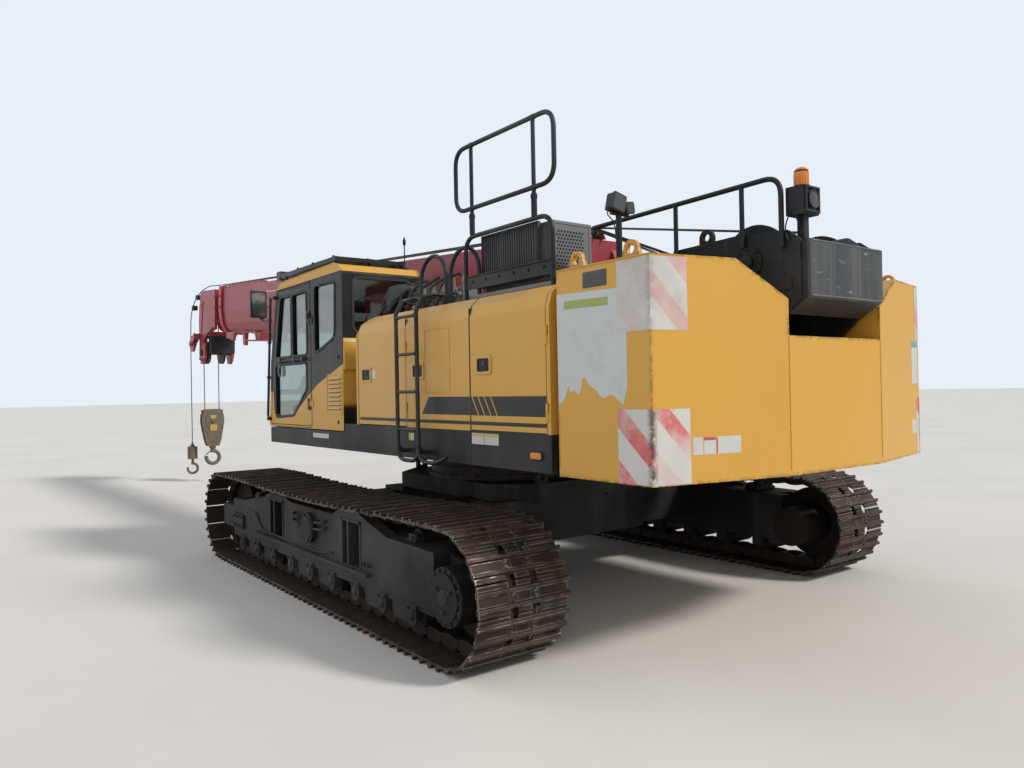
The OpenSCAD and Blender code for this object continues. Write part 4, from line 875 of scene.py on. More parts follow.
def latch(name, body, x, z, side):
    """A paddle latch: a raised yellow rim, a black tray and a silver push button."""
    sizes = ((0.098, 0.068, 0.024), (0.074, 0.047, 0.012), (0.065, 0.039, 0.01))
    outer, middle, inner = (rounded_rectangle(x - a, x + a, z - b, z + b, r) for a, b, r in sizes)
    rim = Piece(mirrored(side))
    ring_plate(rim, outer, middle, "y", SKIN, 1.509)
    rim.make(name + "_rim", body, yellow, bevel=0.003, steps=2, slot="body_yellow")
    tray = Piece(mirrored(side))
    tray.prism(middle, "y", SKIN, 1.5015)
    ring_plate(tray, middle, inner, "y", SKIN, 1.506)
    tray.box(x - 0.04, x + 0.04, 1.5015, 1.505, z - 0.034, z - 0.014)
    tray.make(name + "_tray", body, black, bevel=0.001, slot="rail_black")
    button = Piece(mirrored(side))
    profile = [(0, 0), (0.019, 0), (0.017, 0.006), (0.006, 0.005), (0, 0.005)]
    button.lathe((x, 1.5015, z + 0.012), LEFT, profile, 20)
    button.make(name + "_button", body, sheave_steel)


for name, body, x, z, side in (
        ("front_left", "hood_door_front_left", 0.114, 1.867, 1),
        ("middle_left", "upper", -0.794, 1.876, 1),
        ("rear_left", "hood_door_rear_left", -1.713, 1.892, 1),
        ("front_right", "hood_door_front_right", 0.98, 1.867, -1),
        ("middle_right", "upper", -1.02, 1.876, -1),
        ("rear_right", "hood_door_rear_right", -1.713, 1.892, -1)):
    latch("latch_" + name, body, x, z, side)


def plate(name, body, material, outlines, y0=SKIN + 0.0002, y1=SKIN + 0.0012):
    """Thin flat pieces on the left side, from outlines of (x, z). Their inner face y0 clears what they
    lie on: the skin, the weight's skin or a plate below."""
    p = Piece()
    for outline in outlines:
        p.prism(outline, "y", y0, y1)
    p.make(name, body, material)


def patch(x0, x1, z0, z1, r=0.004):
    """Outline of a small label."""
    return rounded_rectangle(min(x0, x1), max(x0, x1), z0, z1, r, 2)


def low_stripe(x0, x1):
    """Outline of the thin stripe below the band."""
    return [(x0, 1.463), (x1, 1.463), (x1, 1.489), (x0, 1.489)]


# rubber strips in the seams
seal = Piece()
for s in (1, -1):
    for x0, x1 in ((-1.5462, -1.5298), (-0.5995, -0.5925)):
        seal.box(x0, x1, s * 1.465, s * 1.4975, 1.43, 2.31)
        edge = [(1.46, 2.24), (1.4975, 2.24), (1.472, 2.327), (1.408, 2.387), (1.38, 2.36), (1.44, 2.3)]
        seal.prism([(s * y, z) for y, z in edge], "x", x0, x1)
    seal.box(-2.449, -1.53, s * 1.455, s * 1.4992, 1.4195, 1.4275)
seal.make("hood_seals", "upper", rubber)
ridge = Piece()
for s in (1, -1):
    ring_plate(ridge, rounded_rectangle(-1.268, -0.896, 1.70, 2.2, 0.03),
               rounded_rectangle(-1.258, -0.906, 1.71, 2.19, 0.024), "y", s * 1.4995, s * 1.5035)
ridge.make("hood_ridge", "upper", yellow, bevel=0.0015, slot="body_yellow")
# black band with gold lines, and the thin stripe below it
LOW, HIGH = 1.532, 1.668
plate("band_middle", "upper", decal_black,
      [[(-0.845, LOW), (-0.958, HIGH), (-1.527, HIGH), (-1.527, LOW)], low_stripe(-0.602, -1.527)])
plate("band_rear", "hood_door_rear_left", decal_black,
      [[(-1.549, LOW), (-1.549, HIGH), (-2.408, HIGH), (-2.408, LOW)], low_stripe(-1.549, -2.408)])
plate("band_front", "hood_door_front_left", decal_black, [low_stripe(0.255, -0.588)])
plate("band_gold_lines", "hood_door_rear_left", yellow,
      [[(x, HIGH), (x - 0.011, HIGH), (x - 0.093, LOW), (x - 0.082, LOW)]
       for x in (-1.556, -1.632, -1.708, -1.784)], 1.5013, 1.5019)
# labels with nothing on them
plate("labels_white", "upper", white_label,
      [patch(-1.55, -1.705, 1.325, 1.405), patch(-1.71, -1.88, 1.325, 1.405),
       patch(-0.665, -0.7, 1.315, 1.375), patch(-0.7, -0.71, 1.315, 1.375)])
plate("labels_yellow", "upper", yellow_label,
      [patch(-1.555, -1.7, 1.385, 1.403), patch(-1.72, -1.875, 1.38, 1.403),
       patch(-0.63, -0.664, 1.315, 1.375)], 1.5013, 1.5018)
plate("label_latch", "hood_door_front_left", white_label, [patch(-0.062, 0.012, 1.832, 1.905)])
plate("label_cab_skirt", "upper", white_label, [patch(0.95, 1.33, 1.265, 1.31)])
# amber side marker in a black rim
marker_edge = rounded_rectangle(-2.358, -2.242, 1.254, 1.302, 0.016)
marker = Piece()
ring_plate(marker, rounded_rectangle(-2.365, -2.235, 1.248, 1.308, 0.02), marker_edge, "y", SKIN, 1.512)
marker.make("marker_rim", "upper", rubber, bevel=0.002)
lens = Piece()
lens.prism(marker_edge, "y", 1.5002, 1.5005)
lens.pad(-2.355, -2.245, 1.257, 1.299, 0.014, "y", 1.5005, 1.515)
lens.make("marker_lens", "upper", amber, bevel=0.004, steps=2)
trim = Piece()
for s in (1, -1):
    trim.frame = mirrored(s)
    trim.box(-2.44, 2.5, SKIN, 1.503, 1.172, 1.182)
    trim.box(-1.541, -1.537, SKIN, 1.5015, 1.183, 1.418)
trim.make("skirt_edges", "upper", black, bevel=0.001, slot="chassis_black")


# Ladder, roof, intake box and rails

low_steps = Piece()
low_steps.bent([(-0.625, 1.6, 1.29), (-0.63, 1.6, 1.2), (-0.70, 1.6, 1.165), (-0.875, 1.6, 1.165),
                (-0.945, 1.6, 1.2), (-0.95, 1.6, 1.29)], 0.09, 0.0165, 12)
low_steps.bent([(-0.95, 1.6, 1.25), (-0.965, 1.6, 1.2), (-1.02, 1.6, 1.165), (-1.2, 1.598, 1.165),
                (-1.33, 1.58, 1.215)], 0.07, 0.0165, 12)
for z, x in product((1.41, 1.71, 2.01, 2.31), (-0.647, -0.928)):
    low_steps.lathe((x, 1.6, z), AHEAD, [(0.013, -0.008), (0.019, 0), (0.013, 0.008)], 16)
low_steps.make("ladder_foot", "upper", rail_paint, slot="rail_black")

# control valves on the roof, with their hoses, and the black tread strips
VALVES, VALVE_STEP = 7, 0.16
roof = Piece()
for k in range(VALVES):
    x = -0.96 + VALVE_STEP * k
    roof.box(x + 0.012, x + 0.088, 0.975, 1.155, 2.56, 2.578)
    roof.bolts(product((x + 0.05,), (1.0, 1.06, 1.13), (2.578,)), UP, 0.014, 0.014)
    roof.rod((x + 0.03, 1.16, 2.5), (x + 0.03, 1.2, 2.5), 0.022, 16, lip=0.004)
    roof.rod((x + 0.07, 1.16, 2.53), (x + 0.07, 1.195, 2.53), 0.018, 16, lip=0.004)
roof.make("valve_covers", "upper", grey_paint, bevel=0.003, slot="valve_grey")
lines = Piece()
for k in range(VALVES):
    x = -0.91 + VALVE_STEP * k
    sway = draw.uniform(-0.04, 0.04)
    lines.curved([(x, 1.12, 2.615), (x + 0.01, 1.14, 2.65 + abs(sway)), (x + 0.06, 1.2 + sway, 2.66),
                  (x + 0.11, 1.27, 2.58), (x + 0.13, 1.3 + sway * 0.3, 2.46), (x + 0.15, 1.29, 2.41)],
                 0.013, 10)
    lines.curved([(x - 0.02, 1.2, 2.5), (x, 1.24, 2.53 + sway), (x + 0.06, 1.3, 2.5), (x + 0.1, 1.33, 2.43),
                  (x + 0.14, 1.3, 2.412)], 0.011, 10)
for k in range(5):
    y = 1.02 + 0.055 * k
    lines.curved([(-0.1 - 0.05 * k, y, 2.43), (-0.02, y, 2.49), (0.05, y + 0.01, 2.52 - 0.02 * k),
                  (0.12, y + 0.02, 2.5)], 0.015, 10)
lines.curved([(-0.3, 1.2, 2.62), (-0.12, 1.22, 2.6), (0.05, 1.25, 2.5), (0.1, 1.32, 2.42)], 0.024, 12)
for k in range(4):
    lines.curved([(-1.25 + 0.05 * k, 0.9, 2.41), (-1.1, 0.86 + 0.04 * k, 2.5), (-0.99, 0.93, 2.52)], 0.014, 8)
lines.make("roof_hoses", "upper", hose)
case = Piece()
case.prism([(0.1, ROOF), (0.1, 2.6), (0.04, 2.66), (-0.16, 2.66), (-0.16, 2.56), (-0.02, 2.52), (0.0, ROOF)],
           "y", 0.98, 1.3)
for y in (1.02, 1.14, 1.26):
    case.bolt((-0.06, y, 2.66), UP, 0.012, 0.01)
case.make("hose_case", "upper", black, bevel=0.006, steps=2)
ends = Piece()
for k in range(VALVES):
    x = -0.91 + VALVE_STEP * k
    ends.rod((x, 1.12, 2.595), (x, 1.12, 2.64), 0.021, 6)
    ends.rod((x, 1.12, 2.64), (x, 1.12, 2.66), 0.019, 12)
for k in range(5):
    y = 1.02 + 0.055 * k
    ends.rod((-0.13 - 0.05 * k, y, 2.4), (-0.1 - 0.05 * k, y, 2.45), 0.023, 6)
ends.make("hose_ends", "upper", brass)
strips = Piece()
for x0, x1 in ((-0.5, 0.12), (-2.36, -2.24)):
    strips.box(x0, x1, 0.68, 0.9, ROOF, 2.394)
    for k in range(int((x1 - x0) / 0.03)):
        strips.box(x0 + 0.03 * k + 0.008, x0 + 0.03 * k + 0.022, 0.69, 0.89, 2.394, 2.397)
strips.make("tread_strips", "upper", black)

# intake box: perforated end, folded rims and the ribs of its black side panel
box_rim = Piece()
for y0, y1, z0, z1 in ((0.905, 1.25, 2.845, 2.865), (0.905, 0.925, 2.4, 2.845), (1.232, 1.25, 2.4, 2.845)):
    box_rim.box(-2.219, -2.215, y0, y1, z0, z1)
box_rim.box(-2.2, -1.42, 0.91, 1.245, 2.865, 2.868)
box_rim.bolts(product((-2.17, -1.45), (0.94, 1.21), (2.868,)), UP, 0.009, 0.007)
box_rim.make("intake_rims", "upper", pale_grey, bevel=0.0015, slot="intake_grey")
# the perforations are thin dark discs: painted shade of the box's inside seen through the holes
holes = Piece()
for row in range(12):
    z = 2.525 + 0.0245 * row
    for k in range(9):
        y = 1.218 - 0.0275 * k - (0.01375 if row % 2 else 0)
        holes.lathe((-2.2155, y, z), (-1, 0, 0), [(0.0096, 0), (0.0096, 0.0006), (0, 0.0006)], 8)
holes.make("intake_holes", "upper", painted_shade_openings)
ribs = Piece()
for k in range(24):
    x = -2.06 + 0.0275 * k
    ribs.box(x, x + 0.009, 1.275, 1.279, 2.5, 2.86)
for x0, x1, z0, z1 in ((-2.08, -1.4, 2.862, 2.88), (-2.08, -1.4, 2.48, 2.497), (-2.08, -2.066, 2.497, 2.862),
                       (-1.414, -1.4, 2.497, 2.862)):
    ribs.box(x0, x1, 1.275, 1.2805, z0, z1)
ribs.make("intake_ribs", "upper", black)
# bent tubes of the roof rail and its hoops, then of the tail rail
RAIL_Y, TAIL_Y = 1.326, 0.449
POSTS, FEET, HOOPS = (-2.105, -1.35), (-2.295, -1.255), (-0.715, -1.18)
bent = Piece()
bent.tube(rounded([(-2.295, RAIL_Y, ROOF), (-2.295, RAIL_Y, 2.885), (-1.255, RAIL_Y, 2.885),
                   (-1.255, RAIL_Y, ROOF)], 0.13, 8), 0.017, 14)
bent.tube(rounded([(-2.325, RAIL_Y, 3.1), (-2.325, RAIL_Y, 3.583), (-1.135, RAIL_Y, 3.583),
                   (-1.135, RAIL_Y, 3.1)], 0.13, 8, True), 0.017, 14, True)
for x in POSTS:
    bent.rod((x, RAIL_Y, 2.885), (x, RAIL_Y, 3.583), 0.015, 16)
bent.box(-2.295, -1.255, 1.32, 1.332, 2.483, 2.58)
bent.box(-2.295, -1.255, 1.32, 1.345, 2.577, 2.583)
for x in HOOPS:
    turns = [math.radians(12 * k) for k in range(16)]
    arch = [(x - 0.2 * math.cos(a), 1.29, 2.63 + 0.2 * math.sin(a)) for a in turns]
    bent.tube([(x - 0.2, 1.29, ROOF), *arch, (x + 0.2, 1.29, ROOF)], 0.017, 14)
bent.make("roof_rail_tubes", "upper", rail_paint, slot="rail_black", stands_for=["roof_rail"])
tail = Piece()
tail.tube(rounded([(-1.76, TAIL_Y, 2.973), (-3.445, TAIL_Y, 3.005), (-3.445, TAIL_Y, 2.56)], 0.12, 8),
          0.017, 14)
for x in (-2.6, -3.155):
    tail.rod((x, TAIL_Y, 2.6), (x, TAIL_Y, 2.99), 0.016, 16)
tail.bent([(-2.05, TAIL_Y, 2.978), (-2.05, TAIL_Y, 2.62), (-2.57, TAIL_Y, 2.59)], 0.06, 0.016, 14)
tail.rod((-1.76, TAIL_Y, 2.973), (-2.56, TAIL_Y, 2.64), 0.01, 12)
tail.rod((-2.59, 1.0, 2.455), (-2.59, 1.0, 2.9), 0.02, 16)
tail.lathe((-2.59, 1.0, 2.455), UP, [(0, 0), (0.05, 0), (0.05, 0.01), (0.02, 0.014)], 20)
tail.make("tail_rail_tubes", "upper", rail_paint, slot="rail_black", stands_for=["tail_rail"])
# sleeves, foot plates and bolts of the rails
sleeves = Piece()
for x in POSTS:
    sleeves.rod((x, RAIL_Y, 2.895), (x, RAIL_Y, 3.06), 0.021, 20, lip=0.004)
    sleeves.rod((x, RAIL_Y, 3.02), (x, RAIL_Y, 3.05), 0.024, 20, lip=0.003)
    for z in (3.1, 3.583):
        sleeves.tube([(x - 0.02, RAIL_Y, z), (x, RAIL_Y, z), (x + 0.02, RAIL_Y, z)], 0.0195, 12)
for x in FEET:
    sleeves.box(x - 0.045, x + 0.045, 1.28, 1.352, ROOF, 2.398)
    sleeves.bolts(product((x - 0.03, x + 0.03), (1.295,), (2.398,)), UP, 0.01, 0.008)
for centre, half in product(HOOPS, (-0.2, 0.2)):
    sleeves.box(centre + half - 0.035, centre + half + 0.035, 1.262, 1.318, ROOF, 2.398)
sleeves.bolts([(-2.2 + 0.17 * k, 1.332, 2.54) for k in range(6)], LEFT, 0.01, 0.007)
sleeves.make("rail_sleeves", "upper", rail_paint, slot="rail_black")
stay = Piece()
stay.box(-2.43, -2.33, 1.2, 1.33, ROOF, 2.47)
stay.box(-2.33, -1.22, 1.31, 1.318, 2.41, 2.44)
stay.make("kick_bracket", "upper", pale_grey, bevel=0.003)


# Counterweight

# the rear skin is flat at REAR_X out to FLAT_Y from the middle
REAR_X, FLAT_Y = -3.536, 0.531


def wrapped(points, z0, z1, thick=0.0014):
    """A thin sheet along a line of (x, y) points on the weight's skin, seen from outside."""
    outer = []
    flat = [Vector(p) for p in points]
    for i, p in enumerate(flat):
        sides = []
        if i:
            sides.append((p - flat[i - 1]).normalized())
        if i < len(flat) - 1:
            sides.append((flat[i + 1] - p).normalized())
        normals = [Vector((-d.y, d.x)) for d in sides]
        n = sum(normals, Vector((0, 0))).normalized()
        outer.append(p + n * thick / n.dot(normals[0]))
    lift = 0.0003
    inner = [p + (q - p) * lift / thick for p, q in zip(flat, outer)]
    return inner + outer[::-1], z0, z1


def rear_x(y):
    """The weight's rear skin at a distance y from the middle: flat, then slanting to the corners."""
    return REAR_X + max(0.0, abs(y) - FLAT_Y) * (CORNER_X - REAR_X) / (CORNER_Y - FLAT_Y)


def rear_line(a, b):
    """Line on the rear skin between two distances from the middle."""
    return [(rear_x(a), a), (rear_x(b), b)]


def left_corner(x, y):
    """Line from y on the rear skin round the left corner to x on the side."""
    return [(rear_x(y), y), (CORNER_X, CORNER_Y), (x, CORNER_Y)]


def right_corner(x, y):
    """The same on the right, the other way round."""
    return [(x, -CORNER_Y), (CORNER_X, -CORNER_Y), (rear_x(y), -y)]


def sheet(name, material, parts):
    """Thin sheets on the weight, from wrapped lines."""
    p = Piece()
    for points, z0, z1 in parts:
        p.prism(points, "z", z0, z1)
    p.make(name, "upper", material)


sheet("chevron_plates", chevrons, [
    wrapped(left_corner(-3.064, 1.26), 2.03, 2.44), wrapped(left_corner(-3.055, 1.255), 1.168, 1.59),
    wrapped(right_corner(-3.064, 1.42), 2.03, 2.44), wrapped(right_corner(-3.055, 1.42), 1.168, 1.59)])
labels = [wrapped(rear_line(a, b), 1.325, 1.425, 0.001)
          for a, b in ((1.172, 1.24), (1.085, 1.165), (0.905, 1.075), (-1.41, -1.29))]
sheet("rear_labels", white_label, labels + [wrapped(rear_line(-1.47, -1.31), 1.7, 1.975, 0.001)])
sheet("label_teal_head", sticker_material("label_teal", (0.12, 0.36, 0.36)),
      [wrapped(rear_line(-1.47, -1.31), 1.977, 2.02, 0.001)])
sheet("rear_label_heads", pink_red,
      [wrapped(rear_line(1.085, 1.165), 1.405, 1.424), wrapped(rear_line(1.069, 1.075), 1.33, 1.42)])
# the torn notice, drawn as (x, z) along its edge
notice = [(-2.532, 2.302), (-3.136, 2.287), (-3.135, 1.716), (-3.102, 1.614), (-3.06, 1.642), (-3.03, 1.665),
          (-2.989, 1.673), (-2.955, 1.652), (-2.914, 1.66), (-2.875, 1.703), (-2.838, 1.719), (-2.8, 1.75),
          (-2.777, 1.782), (-2.757, 1.768), (-2.745, 1.702), (-2.723, 1.674), (-2.68, 1.702), (-2.65, 1.69),
          (-2.629, 1.73), (-2.6, 1.658), (-2.535, 1.605)]
plate("notice_sheet", "upper", paper, [notice], 1.5033, 1.5041)
plate("notice_strip", "upper", green_label, [[(-2.6, 2.205), (-2.6, 2.255), (-2.99, 2.247), (-2.99, 2.197)]],
      1.5042, 1.5046)
plate("weight_plate", "upper", dark_plate, [patch(-2.776, -2.983, 2.315, 2.412, 0.006)], 1.5033, 1.5045)
seams = Piece()
for y in (FLAT_Y, -FLAT_Y):
    seams.tube([(rear_x(y) - 0.001, y, 1.2), (rear_x(y) - 0.001, y, 2.0)], 0.004, 6)
seams.tube([(-3.32, CORNER_Y, 2.452), (-2.535, CORNER_Y, 2.452)], 0.005, 6)
for x, y, d in product((-2.665, -3.13), (1.44, -1.44), (-0.015, 0.015)):
    seams.tube([(x - 0.08, y + d, 2.457), (x + 0.08, y + d, 2.457)], 0.006, 6)
seams.make("weight_welds", "upper", yellow, slot="body_yellow")


# Winches, the guard behind them, beacon and lamp pole

# (x, z) of the drums' axles, the outer face of the cheeks that hold them, and the beacon's place
MAIN_DRUM, AUX_DRUM = (-3.19, 2.5), (-2.74, 2.29)
CHEEK = 0.432
BEACON_X, BEACON_Y = -3.525, 0.35


def wound(name, body, centre, r, half, wire, core):
    """One visible layer of rope on a drum, over the layers below it."""
    x, z = centre
    p = Piece()
    below = r - wire * 0.6
    p.lathe((x, -half, z), LEFT, [(core, 0), (below, 0), (below, 2 * half), (core, 2 * half)], 48)
    turns = int(half / wire) - 1
    steps = 26
    line = []
    for k in range(turns * steps):
        a = 2 * math.pi * k / steps
        line.append((x + r * math.cos(a), -half + wire + 2 * wire * k / steps, z + r * math.sin(a)))
    p.tube(line, wire * 0.97, 6)
    p.make(name, body, rope, angle=50, slot="rope_steel")


wound("main_rope_wound", "main_drum", MAIN_DRUM, 0.213, 0.344, 0.011, 0.161)
wound("aux_rope_wound", "aux_drum", AUX_DRUM, 0.152, 0.344, 0.009, 0.121)
hubs = Piece()
for (x, z), r in ((MAIN_DRUM, 0.1), (AUX_DRUM, 0.085)):
    for s in (1, -1):
        hubs.lathe((x, s * CHEEK, z), (0, s, 0), [(0.071, 0), (r, 0), (r, 0.012), (0.071, 0.012)], 32)
        hubs.bolt_circle((x, s * (CHEEK + 0.012), z), (0, s, 0), 0.86 * r, 8, 0.009, 0.008)
for s in (1, -1):
    y0, y1 = sorted((s * CHEEK, s * 0.44))
    hubs.prism([(-3.5, 2.3), (-3.5, 2.38), (-3.38, 2.38), (-3.36, 2.3)], "y", y0, y1)
    hubs.prism([(-2.62, 2.5), (-2.62, 2.6), (-2.52, 2.6), (-2.52, 2.5)], "y", y0, y1)
hubs.rod((MAIN_DRUM[0], 0.444, MAIN_DRUM[1]), (MAIN_DRUM[0], 0.475, MAIN_DRUM[1]), 0.045, 24, lip=0.006)
hubs.curved([(-3.15, 0.46, 2.46), (-3.05, 0.46, 2.36), (-2.98, 0.455, 2.22), (-2.95, 0.445, 2.1)], 0.012, 8)
hubs.curved([(-3.2, 0.46, 2.45), (-3.12, 0.462, 2.33), (-3.06, 0.455, 2.2), (-3.03, 0.445, 2.08)], 0.012, 8)
# small hood at the top edge of the sheet behind the rear winch, and that sheet's weld lines
hubs.prism([(0.2, 2.588), (-0.02, 2.64), (-0.06, 2.64), (-0.28, 2.588)], "x", -3.6, -3.56)
hubs.make("winch_fittings", "upper", black, bevel=0.002, slot="winch_black")
guard = Piece()
for y in (0.17, -0.13):
    guard.box(-3.6225, -3.62, y - 0.0035, y + 0.0035, 2.27, 2.58)
for z in (2.2515, 2.588):
    guard.tube([(-3.62, -0.41, z), (-3.62, 0.41, z)], 0.005, 6)
guard.make("guard_welds", "upper", guard_grey, slot="winch_black")

# beacon with the frame of its work lamp, lamp pole and cables
signal = Piece()
signal.prism([(0.326, 2.75), (0.374, 2.75), (0.43, 2.75), (0.374, 2.66), (0.326, 2.66), (0.29, 2.75)], "x",
             -3.532, -3.524)
for y0, y1, z0, z1 in ((0.275, 0.425, 2.76, 2.775), (0.275, 0.425, 2.905, 2.92), (0.275, 0.29, 2.775, 2.905),
                       (0.41, 0.425, 2.775, 2.905)):
    signal.box(-3.605, -3.59, y0, y1, z0, z1)
for y in (0.25, 0.27):
    signal.box(-3.58, -3.475, y - 0.002, y + 0.002, 2.76, 2.915)
signal.lathe((BEACON_X, BEACON_Y, 2.925), UP, [(0.03, 0), (0.05, 0), (0.05, 0.012), (0.043, 0.014)], 28)
signal.curved([(-3.5, 0.435, 2.78), (-3.47, 0.445, 2.68), (-3.49, 0.445, 2.6), (-3.52, 0.4, 2.592)], 0.005, 6)
signal.make("beacon_housing", "upper", rail_paint, bevel=0.002, slot="rail_black")
dome = Piece()
profile = [(0.0445, 0), (0.0445, 0.075), (0.041, 0.095), (0.03, 0.108), (0.012, 0.115), (0, 0.116)]
dome.lathe((BEACON_X, BEACON_Y, 2.937), UP, profile, 32)
for k in range(16):
    a = 2 * math.pi * k / 16
    x, y = BEACON_X + 0.0445 * math.cos(a), BEACON_Y + 0.0445 * math.sin(a)
    dome.tube([(x, y, 2.94), (x, y, 3.012)], 0.0018, 5)
dome.make("beacon_dome", "upper", amber, angle=50)


def round_lamp(p, at, axis, r, deep):
    """A work lamp's rim and bowl."""
    profile = [(0, 0), (1.12, 0), (1.12, 1), (0.96, 1), (0.9, 0.35), (0, 0.3)]
    p.lathe(at, axis, [(r * a, deep * b) for a, b in profile], 24)


lamp_glass = Piece()
lamp_case = Piece()
for y, z, half, tilt in ((1.045, 2.925, 0.056, 14), (0.945, 2.9, 0.036, -8)):
    lamp_case.frame = UPPER @ Matrix.Translation((-2.605, y, z)) @ Matrix.Rotation(math.radians(tilt), 4, "X")
    lamp_case.pad(-half, half, -half, half, 0.012, "x", -0.03, 0.03)
    lamp_case.pad(-half - 0.004, half + 0.004, -half - 0.004, half + 0.004, 0.014, "x", -0.042, -0.028)
    for k in range(5):
        low_z = -half + 0.018 * k * half / 0.045
        lamp_case.box(0.03, 0.042, -half + 0.008, half - 0.008, low_z, low_z + 0.008)
    lamp_glass.frame = lamp_case.frame
    lamp_glass.pad(-half + 0.006, half - 0.006, -half + 0.006, half - 0.006, 0.01, "x", -0.0445, -0.042)
lamp_case.frame = lamp_glass.frame = UPPER
lamp_case.box(-2.61, -2.585, 0.92, 1.08, 2.85, 2.868)
lamp_case.curved([(-2.6, 1.1, 2.9), (-2.62, 1.13, 2.84), (-2.61, 1.06, 2.78), (-2.6, 1.03, 2.6)], 0.005, 6)
lamp_case.box(-2.64, -2.54, 0.95, 1.05, 2.455, 2.467)
lamp_case.bent([(-2.59, 1.0, 2.58), (-2.59, 1.06, 2.52), (-2.59, 1.1, 2.465)], 0.04, 0.014, 10)
round_lamp(lamp_case, (-3.606, BEACON_Y, 2.84), (-1, 0, 0), 0.05, 0.008)
lamp_glass.lathe((-3.609, BEACON_Y, 2.84), (-1, 0, 0), [(0.047, 0), (0.04, 0.003), (0, 0.004)], 24)
lamp_case.make("lamp_cases", "upper", plastic, bevel=0.002)
lamp_glass.make("lamp_glasses", "upper", dark_lens)


# Cab

def face_x(z):
    """The cab's front at height z: the windscreen above its knee, the lower front below it."""
    return 2.3 + 0.19 * (2.87 - z) / 0.79 if z > 2.08 else 2.56 - 0.07 * (z - 1.35) / 0.73


def grown(outline, d):
    """A flat outline moved outward by d."""
    points = [Vector(p) for p in outline]
    n = len(points)
    area = sum(points[i - 1].x * points[i].y - points[i].x * points[i - 1].y for i in range(n))
    turn = 1 if area > 0 else -1
    out = []
    for i, p in enumerate(points):
        a = (p - points[i - 1]).normalized()
        b = (points[(i + 1) % n] - p).normalized()
        na = Vector((a.y, -a.x)) * turn
        m = (na + Vector((b.y, -b.x)) * turn).normalized()
        out.append(p + m * d / max(0.4, m.dot(na)))
    return out


def frame_round(p, corners, radius, wide, axis, low, high):
    """A rubber or metal strip round a pane, with round outer corners."""
    inner = rounded(corners, radius, 4, True)
    ring_plate(p, grown(inner, wide), inner, axis, low, high)


DOOR_PANES = [
    [(1.45, 2.11), (1.83, 2.11), (1.83, 2.77), (1.45, 2.77)],
    [(1.87, 2.11), (face_x(2.11) - 0.15, 2.11), (face_x(2.77) - 0.15, 2.77), (1.87, 2.77)],
    [(1.47, 2.03), (1.47, 1.76), (1.83, 1.48), (face_x(1.45) - 0.2, 1.45), (face_x(2.03) - 0.15, 2.03)],
]
QUARTER = [(1.25, 2.8), (0.75, 2.79), (0.78, 2.245), (1.25, 2.11)]
door_trim = Piece()
for pane in DOOR_PANES:
    frame_round(door_trim, grown(pane, -0.012), 0.035, 0.026, "y", 1.5002, 1.5055)
door_trim.box(1.838, 1.862, 1.4975, 1.5045, 2.11, 2.77)
door_trim.prism([(1.372, 2.86), (1.372, 2.835), (2.2, 2.835), (2.2, 2.852)], "y", 1.5002, 1.503)
door_trim.make("door_rubber", "cab_door", rubber, angle=60)
grip = Piece()
grip.bent([(1.48, SKIN, 2.072), (1.48, 1.53, 2.07), (2.27, 1.53, 2.066), (2.27, 1.5, 2.064)], 0.02, 0.011, 12)
grip.make("door_grip", "cab_door", sheave_steel)
fit = Piece()
for x in (1.5, 1.72, 2.12):
    fit.box(x - 0.02, x + 0.02, SKIN, 1.545, 2.05, 2.09)
fit.pad(2.18, 2.26, 1.9, 2.03, 0.02, "y", SKIN, 1.508)
fit.pad(2.195, 2.245, 1.93, 2.0, 0.012, "y", 1.508, 1.518)
for z in (1.6, 2.5):
    fit.pad(1.372, 1.44, z - 0.06, z + 0.06, 0.012, "y", 1.5002, 1.508)
    fit.bolts(product((1.415,), (1.508,), (z - 0.035, z + 0.035)), LEFT, 0.008, 0.006)
fit.prism([(1.85, 1.5), (1.97, 1.47), (1.985, 1.56), (1.88, 1.6)], "y", 1.44, 1.452)
fit.make("door_fittings", "cab_door", plastic, bevel=0.002, steps=2, slot="door_black")
side_trim = Piece()
frame_round(side_trim, grown(QUARTER, -0.012), 0.06, 0.024, "y", 1.5002, 1.506)
door_hole = [(1.36, 1.374), (1.36, 2.86), (face_x(2.86) - 0.072, 2.86), (face_x(2.08) - 0.072, 2.08),
             (face_x(1.374) - 0.072, 1.374)]
frame_round(side_trim, grown(door_hole, 0.012), 0.05, 0.006, "y", 1.5001, 1.5016)
rear_pane = [(0.765, 2.305), (1.375, 2.305), (1.375, 2.805), (0.765, 2.805)]
frame_round(side_trim, rear_pane, 0.05, 0.024, "x", 0.5945, 0.5999)
profile = [(0, 0), (0.022, 0), (0.022, 0.004), (0.014, 0.005), (0.012, 0.001), (0, 0.001)]
side_trim.lathe((0.7, SKIN, 2.055), LEFT, profile, 20)
side_trim.lathe((0.72, SKIN, 1.43), LEFT, [(0, 0), (0.02, 0), (0.018, 0.003), (0, 0.003)], 20)
side_trim.make("cab_rubber", "upper", rubber, angle=60)
# the louvre's slots are flat dark strips under the hoods: painted shade in the openings
slots = Piece()
hoods = Piece()
frame_round(hoods, [(0.63, 1.51), (0.96, 1.51), (0.96, 1.885), (0.63, 1.885)], 0.03, 0.008, "y", SKIN, 1.505)
for k in range(8):
    z = 1.553 + 0.041 * k
    slots.pad(0.665, 0.925, z - 0.007, z + 0.007, 0.0065, "y", 1.5002, 1.5012)
    hood = [(SKIN, z + 0.0075), (SKIN, z + 0.02), (1.513, z + 0.0045), (1.513, z + 0.001)]
    hoods.prism(hood, "x", 0.665, 0.925)
slots.make("louvre_slots", "upper", painted_shade_openings)
hoods.make("louvre_hoods", "upper", yellow, angle=50, slot="body_yellow")
front_trim = Piece()
